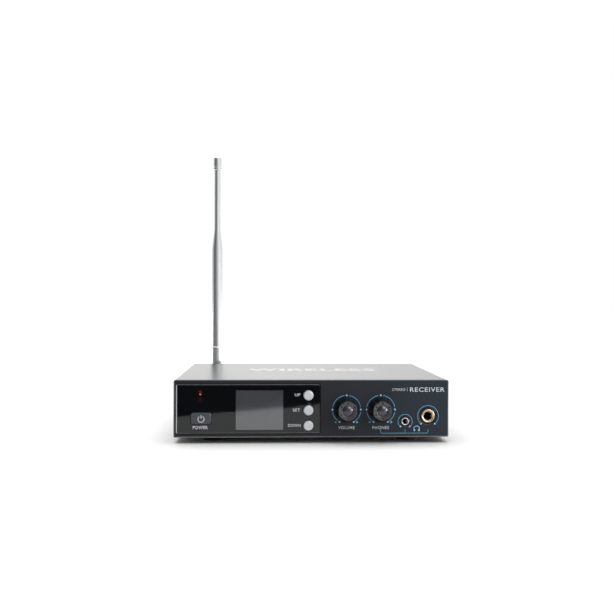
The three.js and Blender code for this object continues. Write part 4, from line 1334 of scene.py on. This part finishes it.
lockRing = {"start": 2, "reach": 12.6, "radius": 6.95, "bore": 6, "lead": 6.7, "groove": 6.6, "lip": 3.6,
            "lipDepth": 1.7, "ridges": 44, "ridge": 0.5, "ridgeRadius": 6.92}
ringEnd = caseDepth + lockRing["reach"]


def makeLockRing():
    radius, bore, groove, lip = (lockRing[name] for name in ("radius", "bore", "groove", "lip"))
    start = caseDepth + lockRing["start"]
    gripStart, gripEnd = start + 3.3, ringEnd - 0.6
    lipFront = ringEnd - lockRing["lipDepth"]
    profile = [[bore, start], [lockRing["lead"], start], [radius, start + 0.3], [radius, start + 2.4],
               [groove, start + 2.7], [groove, start + 3.0], [radius, gripStart], [radius, gripEnd],
               [groove, ringEnd], [lip, ringEnd], [lip, lipFront], [bore, lipFront]]
    ring = grow(knurl, lathe(profile, axis="Z", steps=72), {
        "Count": lockRing["ridges"], "Radius": lockRing["ridgeRadius"],
        "Ridge": (lockRing["ridge"], lockRing["ridge"], gripEnd - gripStart - 0.7),
        "Middle": (0, 0, (gripStart + gripEnd) / 2), "Finish": blackSteel,
    })
    ring = layBack(ring, mastX, mastZ)
    addPiece("lockRing", ring, "lock_ring", blackSteel, ["antenna_lock_ring"])


hinge = {"web": 6.2, "tongue": 2.9, "tongueRadius": 5.2, "tongueTop": 4.4, "ear": 5.6, "earWidth": 2.6,
         "pin": 1.5, "plug": 3.2, "plugStart": 2.8, "plugBore": 1.2, "edge": 0.25}


def sidePlate(outline, low, high):
    # a plate whose outline is drawn in Y and Z about the hinge, thick along X
    bore = circlePoints(0, 0, hinge["pin"] + clearance, 32)
    mesh = plate([outline, bore], low, high, hinge["edge"])
    mesh.transform(Matrix.Translation((mastX, hingeY, mastZ)) @ Matrix.Rotation(math.pi / 2, 4, "Z"))
    return mesh


def makeBase():
    web, plug, plugBore, ear = (hinge[name] for name in ("web", "plug", "plugBore", "ear"))
    webFront = ringEnd + clearance
    webBack = hingeY - hinge["tongueRadius"] - 0.4
    boreEnd = socketEnd - 1
    start = caseDepth + hinge["plugStart"]
    tube = lathe([[0, boreEnd], [plugBore, boreEnd], [plugBore, start], [plug, start], [plug, webFront],
                  [web - 0.3, webFront], [web, webFront + 0.3], [web, webBack - 0.3],
                  [web - 0.3, webBack], [0, webBack]], (mastX, 0, mastZ), steps=72)
    reach = webBack - 0.6 - hingeY
    outline = arcPoints(0, 0, ear, -92, 92, 40)
    outline += [(reach, ear - 0.7), (reach, 0.7 - ear)]
    inner = hinge["tongue"] + clearance
    ears = [sidePlate(outline, inner, inner + hinge["earWidth"]),
            sidePlate(outline, -inner - hinge["earWidth"], -inner)]
    addPiece("antennaBase", combine(tube, *ears), "antenna_swivel_base", antennaMetal,
             ["antenna_base"])


def makePin():
    radius = hinge["pin"]
    half = hinge["tongue"] + clearance + hinge["earWidth"] + 0.3
    profile = [[0, -half], [radius - 0.5, -half], [radius, -half + 0.4], [radius, half - 0.4],
               [radius - 0.5, half], [0, half]]
    pin = lathe(profile, (mastX, hingeY, mastZ), "X", 32)
    addPiece("hingePin", pin, "antenna_swivel_base", zincSteel, ["antenna_hinge_pin"])


collar = {"radius": 5.85, "bottom": 6.9, "edge": 0.6, "bore": 3.7, "boreDepth": 7.7,
          "grooveLow": 4.4, "grooveHigh": 3.6, "grooveDepth": 0.25}
collarTop = extent("antenna_knuckle")[1].z


def makeKnuckle():
    radius, bore, bottom = collar["radius"], collar["bore"], collar["bottom"]
    low, floor = mastZ + bottom, collarTop - collar["boreDepth"]
    grooved = radius - collar["grooveDepth"]
    grooveLow, grooveHigh = collarTop - collar["grooveLow"], collarTop - collar["grooveHigh"]
    profile = [[0, low], [radius - collar["edge"], low], [radius, low + collar["edge"]],
               [radius, grooveLow], [grooved, grooveLow + 0.2], [grooved, grooveHigh - 0.2],
               [radius, grooveHigh], [radius, collarTop - 0.2], [radius - 0.15, collarTop],
               [bore, collarTop], [bore, floor], [0, floor]]
    column = lathe(profile, (mastX, hingeY, 0), "Z", 72)
    outline = arcPoints(0, 0, hinge["tongueRadius"], 150, 390, 40)
    outline += [(hinge["tongueTop"], bottom + 1), (-hinge["tongueTop"], bottom + 1)]
    tongue = sidePlate(outline, -hinge["tongue"], hinge["tongue"])
    addPiece("antennaKnuckle", combine(column, tongue), "antenna_mast", antennaMetal,
             ["antenna_knuckle"])


sheath = {"spigot": 3.4, "spigotDepth": 7.4, "foot": 5.45, "shoulder": 5.1, "tip": 3.0,
          "shoulderZ": 154.0, "neckZ": 174.7}
capLow, capHigh = extent("antenna_cap")
sheathTop = extent("antenna_sleeve")[1].z


def makeSheath():
    # a spigot in the collar, a slow taper, a quick one above the shoulder, then a straight tip
    spigot, foot, shoulder, tip = (sheath[name] for name in ("spigot", "foot", "shoulder", "tip"))
    seat = collarTop + clearance
    start, bend, neck = seat + 0.4, sheath["shoulderZ"], sheath["neckZ"]
    bottom = collarTop - sheath["spigotDepth"]
    profile = [[0, bottom], [spigot, bottom], [spigot, seat], [foot - 0.3, seat], [foot, start]]
    for step in range(1, 25):
        share = step / 24
        profile.append([foot + (shoulder - foot) * share, start + (bend - start) * share])
    for step in range(1, 17):
        share = step / 16
        eased = share * share * (3 - 2 * share) * 0.35 + share * 0.65
        profile.append([shoulder + (tip - shoulder) * eased, bend + (neck - bend) * share])
    profile += [[tip, capLow.z - 0.4], [tip, sheathTop], [0, sheathTop]]
    mesh = lathe(profile, (mastX, hingeY, 0), "Z", 72)
    addPiece("antennaSheath", mesh, "antenna_mast", antennaMetal, ["antenna_sleeve"])


tipCap = {"radius": 3.9, "round": 1.6, "rise": 1.5, "grooveLow": 2.2, "grooveHigh": 3.0, "grooveDepth": 0.2}


def makeCap():
    radius, low, top = tipCap["radius"], capLow.z, sheathTop + clearance
    inner = sheath["tip"] + clearance
    grooved = radius - tipCap["grooveDepth"]
    grooveLow, grooveHigh = low + tipCap["grooveLow"], low + tipCap["grooveHigh"]
    profile = [[0, top], [inner, top], [inner, low], [radius - 0.25, low], [radius, low + 0.3],
               [radius, grooveLow], [grooved, grooveLow + 0.2], [grooved, grooveHigh - 0.2],
               [radius, grooveHigh]]
    for step in range(9):
        angle = math.radians(90 * step / 8)
        profile.append([radius + tipCap["round"] * (math.cos(angle) - 1),
                        capHigh.z + tipCap["rise"] * (math.sin(angle) - 1)])
    profile.append([0, capHigh.z])
    mesh = lathe(profile, (mastX, hingeY, 0), "Z", 72)
    addPiece("antennaCap", mesh, "antenna_mast", antennaMetal, ["antenna_cap"])


makeSocket()
makeLockRing()
makeBase()
makePin()
makeKnuckle()
makeSheath()
makeCap()
print("antenna made")


# Floor, light and camera, in metres

camera = {"place": (-0.032218, -0.714742, 0.111001), "lens": 47.908, "sensor": 36, "nearest": 0.01,
          "yaw": 2.561, "pitch": -0.571, "roll": 0.224}


def makeCamera():
    yaw, pitch, roll = (math.radians(camera[name]) for name in ("yaw", "pitch", "roll"))
    ahead = Vector((math.sin(yaw) * math.cos(pitch), math.cos(yaw) * math.cos(pitch), math.sin(pitch)))
    right = Vector((math.cos(yaw), -math.sin(yaw), 0))
    up = right.cross(ahead)
    tiltedRight = right * math.cos(roll) + up * math.sin(roll)
    tiltedUp = up * math.cos(roll) - right * math.sin(roll)
    data = bpy.data.cameras.new("camera")
    data.lens = camera["lens"]
    data.sensor_width = camera["sensor"]
    data.clip_start = camera["nearest"]
    eye = bpy.data.objects.new("camera", data)
    bpy.context.scene.collection.objects.link(eye)
    turn = Matrix((tiltedRight, tiltedUp, -ahead)).transposed().to_4x4()
    eye.matrix_world = Matrix.Translation(camera["place"]) @ turn
    bpy.context.scene.camera = eye


def areaLight(name, look, lit):
    # lights everything, or only the objects of the collection given
    data = bpy.data.lights.new(name, "AREA")
    data.shape = "RECTANGLE"
    data.size, data.size_y = look["size"]
    data.energy = look["power"]
    data.color = look.get("colour", (1, 1, 1))
    lamp = bpy.data.objects.new(name, data)
    bpy.context.scene.collection.objects.link(lamp)
    aim = (Vector(look["target"]) - Vector(look["place"])).to_track_quat("-Z", "Y")
    lamp.matrix_world = Matrix.Translation(look["place"]) @ aim.to_matrix().to_4x4()
    if lit:
        lamp.light_linking.receiver_collection = lit


def flatSheet(name, corners, finish):
    mesh = bpy.data.meshes.new(name)
    mesh.from_pydata(corners, [], [list(range(len(corners)))])
    mesh.materials.append(finish)
    sheet = bpy.data.objects.new(name, mesh)
    bpy.context.scene.collection.objects.link(sheet)
    return sheet


stage = {"reach": 6.0, "front": -0.95, "fadeStart": 0.45, "fadeEnd": 0.95, "cardHeight": 0.002,
         "frontCard": ((-0.30, -0.097), (0.20, -0.428), (0.20, -1.6), (-0.30, -1.6)),
         "sideCard": ((-2.4, 0.25), (-0.31, 0.0), (-0.31, -1.6), (-2.4, -1.6))}


def makeStage():
    reach, front = stage["reach"], stage["front"]
    pale = makeFinish("palePaper", {
        "dark": (0.745, 0.745, 0.745), "light": (0.775, 0.775, 0.775), "clouds": 400, "grain": 3.0,
        "roughness": (0.75, 0.9), "relief": 0.0,
    })
    # the sheet glows white far from the case, so that it runs on into the backdrop
    tree = pale.node_tree
    place = addNode(tree, "ShaderNodeTexCoord").outputs["Object"]
    away = addNode(tree, "ShaderNodeVectorMath", {0: place}, operation="LENGTH").outputs["Value"]
    shader = tree.nodes["Principled BSDF"]
    shader.inputs["Emission Color"].default_value = (1, 1, 1, 1)
    tree.links.new(mapRange(tree, away, stage["fadeStart"], stage["fadeEnd"]),
                   shader.inputs["Emission Strength"])
    # the apron runs on in front of the floor, and gloss doesn't see it
    sheets = {}
    for name, near, far in (("floor", front, reach), ("apron", -reach, front)):
        corners = [(-reach, near, 0), (reach, near, 0), (reach, far, 0), (-reach, far, 0)]
        sheets[name] = flatSheet(name, corners, pale)
    sheets["apron"].visible_glossy = False
    # dark cards that only gloss sees, for the upper part of the window and the antenna's dark side
    flagCloth = makeFinish("flagCloth", {
        "dark": (0.0008, 0.0008, 0.0010), "light": (0.0016, 0.0016, 0.0020), "clouds": 100, "grain": 3.0,
        "roughness": (0.9, 1.0), "relief": 0.0,
    })
    greyCloth = makeFinish("greyCloth", {
        "dark": (0.07, 0.07, 0.07), "light": (0.11, 0.11, 0.11), "clouds": 100, "grain": 3.0,
        "roughness": (0.9, 1.0), "relief": 0.0,
    })
    for name, finish in (("frontCard", flagCloth), ("sideCard", greyCloth)):
        card = flatSheet(name, [(x, y, stage["cardHeight"]) for x, y in stage[name]], finish)
        card.visible_camera = False
        card.visible_diffuse = False
        card.visible_shadow = False


# brightness that gloss sees, at shares of a turn: from behind the object round by its left, front and right
surroundings = {"behind": 0.98, "peak": 1.25, "turn": {
    0.25: 0.26, 0.34: 0.07, 0.42: 0.15, 0.5: 0.38, 0.62: 0.78, 0.78: 0.62, 0.965: 0.78,
}}
# brightness that matt surfaces see: it fades between these directions, and is darkest in front
matt = {"front": -0.55, "back": 0.15, "darkest": 0.34}
blueWhite = (0.93, 0.97, 1.0)
lights = {
    "keyLight": {"place": (0.75, -0.75, 0.95), "target": (0, 0, 0.02), "size": (0.9, 0.9), "power": 12,
                 "lit": "plain"},
    "topLight": {"place": (-0.1, 0.1, 1.4), "target": (0, 0, 0), "size": (1.8, 1.8), "power": 14},
    "groundLight": {"place": (0, 0, 2.2), "target": (0, 0, 0), "size": (3.0, 3.0), "power": 27,
                    "lit": "ground"},
    "sideLight": {"place": (1.0, -0.42, 0.17), "target": (0.08, -0.08, 0.02), "size": (0.4, 0.3), "power": 8,
                  "colour": blueWhite, "lit": "plain"},
    "glintLight": {"place": (0.62, -0.14, 0.36), "target": (0.08, -0.09, 0.02), "size": (0.12, 0.12),
                   "power": 1.5, "lit": "plain"},
}


def grey(level):
    return (level, level, level, 1)


def makeWorld():
    world = bpy.data.worlds.new("studio")
    bpy.context.scene.world = world
    world.use_nodes = True
    tree = world.node_tree
    tree.nodes.clear()
    place = addNode(tree, "ShaderNodeTexCoord").outputs["Generated"]
    parts = addNode(tree, "ShaderNodeSeparateXYZ", {0: place}).outputs
    toBack = mapRange(tree, parts["Y"], matt["front"], matt["back"], matt["darkest"], 1.0)
    toFront = mathNode(tree, "MULTIPLY", parts["Y"], -1.0)
    bearing = mathNode(tree, "ARCTAN2", parts["X"], toFront)
    turn = mapRange(tree, bearing, -math.pi, math.pi)
    ramp = addNode(tree, "ShaderNodeValToRGB", {0: turn})
    elements = ramp.color_ramp.elements
    first, last = elements[0], elements[-1]
    first.color = last.color = grey(surroundings["behind"])
    for spot, level in surroundings["turn"].items():
        elements.new(spot).color = grey(level)
    around = mathNode(tree, "MULTIPLY", ramp.outputs["Color"], surroundings["peak"])
    rays = addNode(tree, "ShaderNodeLightPath").outputs
    scattered = addNode(tree, "ShaderNodeMix", {
        0: rays["Is Glossy Ray"], 2: toBack, 3: around,
    }).outputs[0]
    strength = addNode(tree, "ShaderNodeMix", {0: rays["Is Camera Ray"], 2: scattered, 3: 1.0}).outputs[0]
    sky = addNode(tree, "ShaderNodeBackground", {"Color": (1, 1, 1, 1), "Strength": strength})
    out = addNode(tree, "ShaderNodeOutputWorld")
    tree.links.new(sky.outputs[0], out.inputs["Surface"])


def makeLights():
    # the bright metal of the antenna is lit by its surroundings and the top light alone
    groups = {name: bpy.data.collections.new(name) for name in ("ground", "plain")}
    for piece in bpy.context.scene.objects:
        if piece.name in ("floor", "apron"):
            groups["ground"].objects.link(piece)
        elif piece.type == "MESH" and not piece.name.startswith("antenna"):
            groups["plain"].objects.link(piece)
    for name, look in lights.items():
        areaLight(name, look, groups.get(look.get("lit")))


makeCamera()
makeStage()
makeWorld()
makeLights()
bpy.context.scene.view_settings.view_transform = "Standard"
print("stage set")
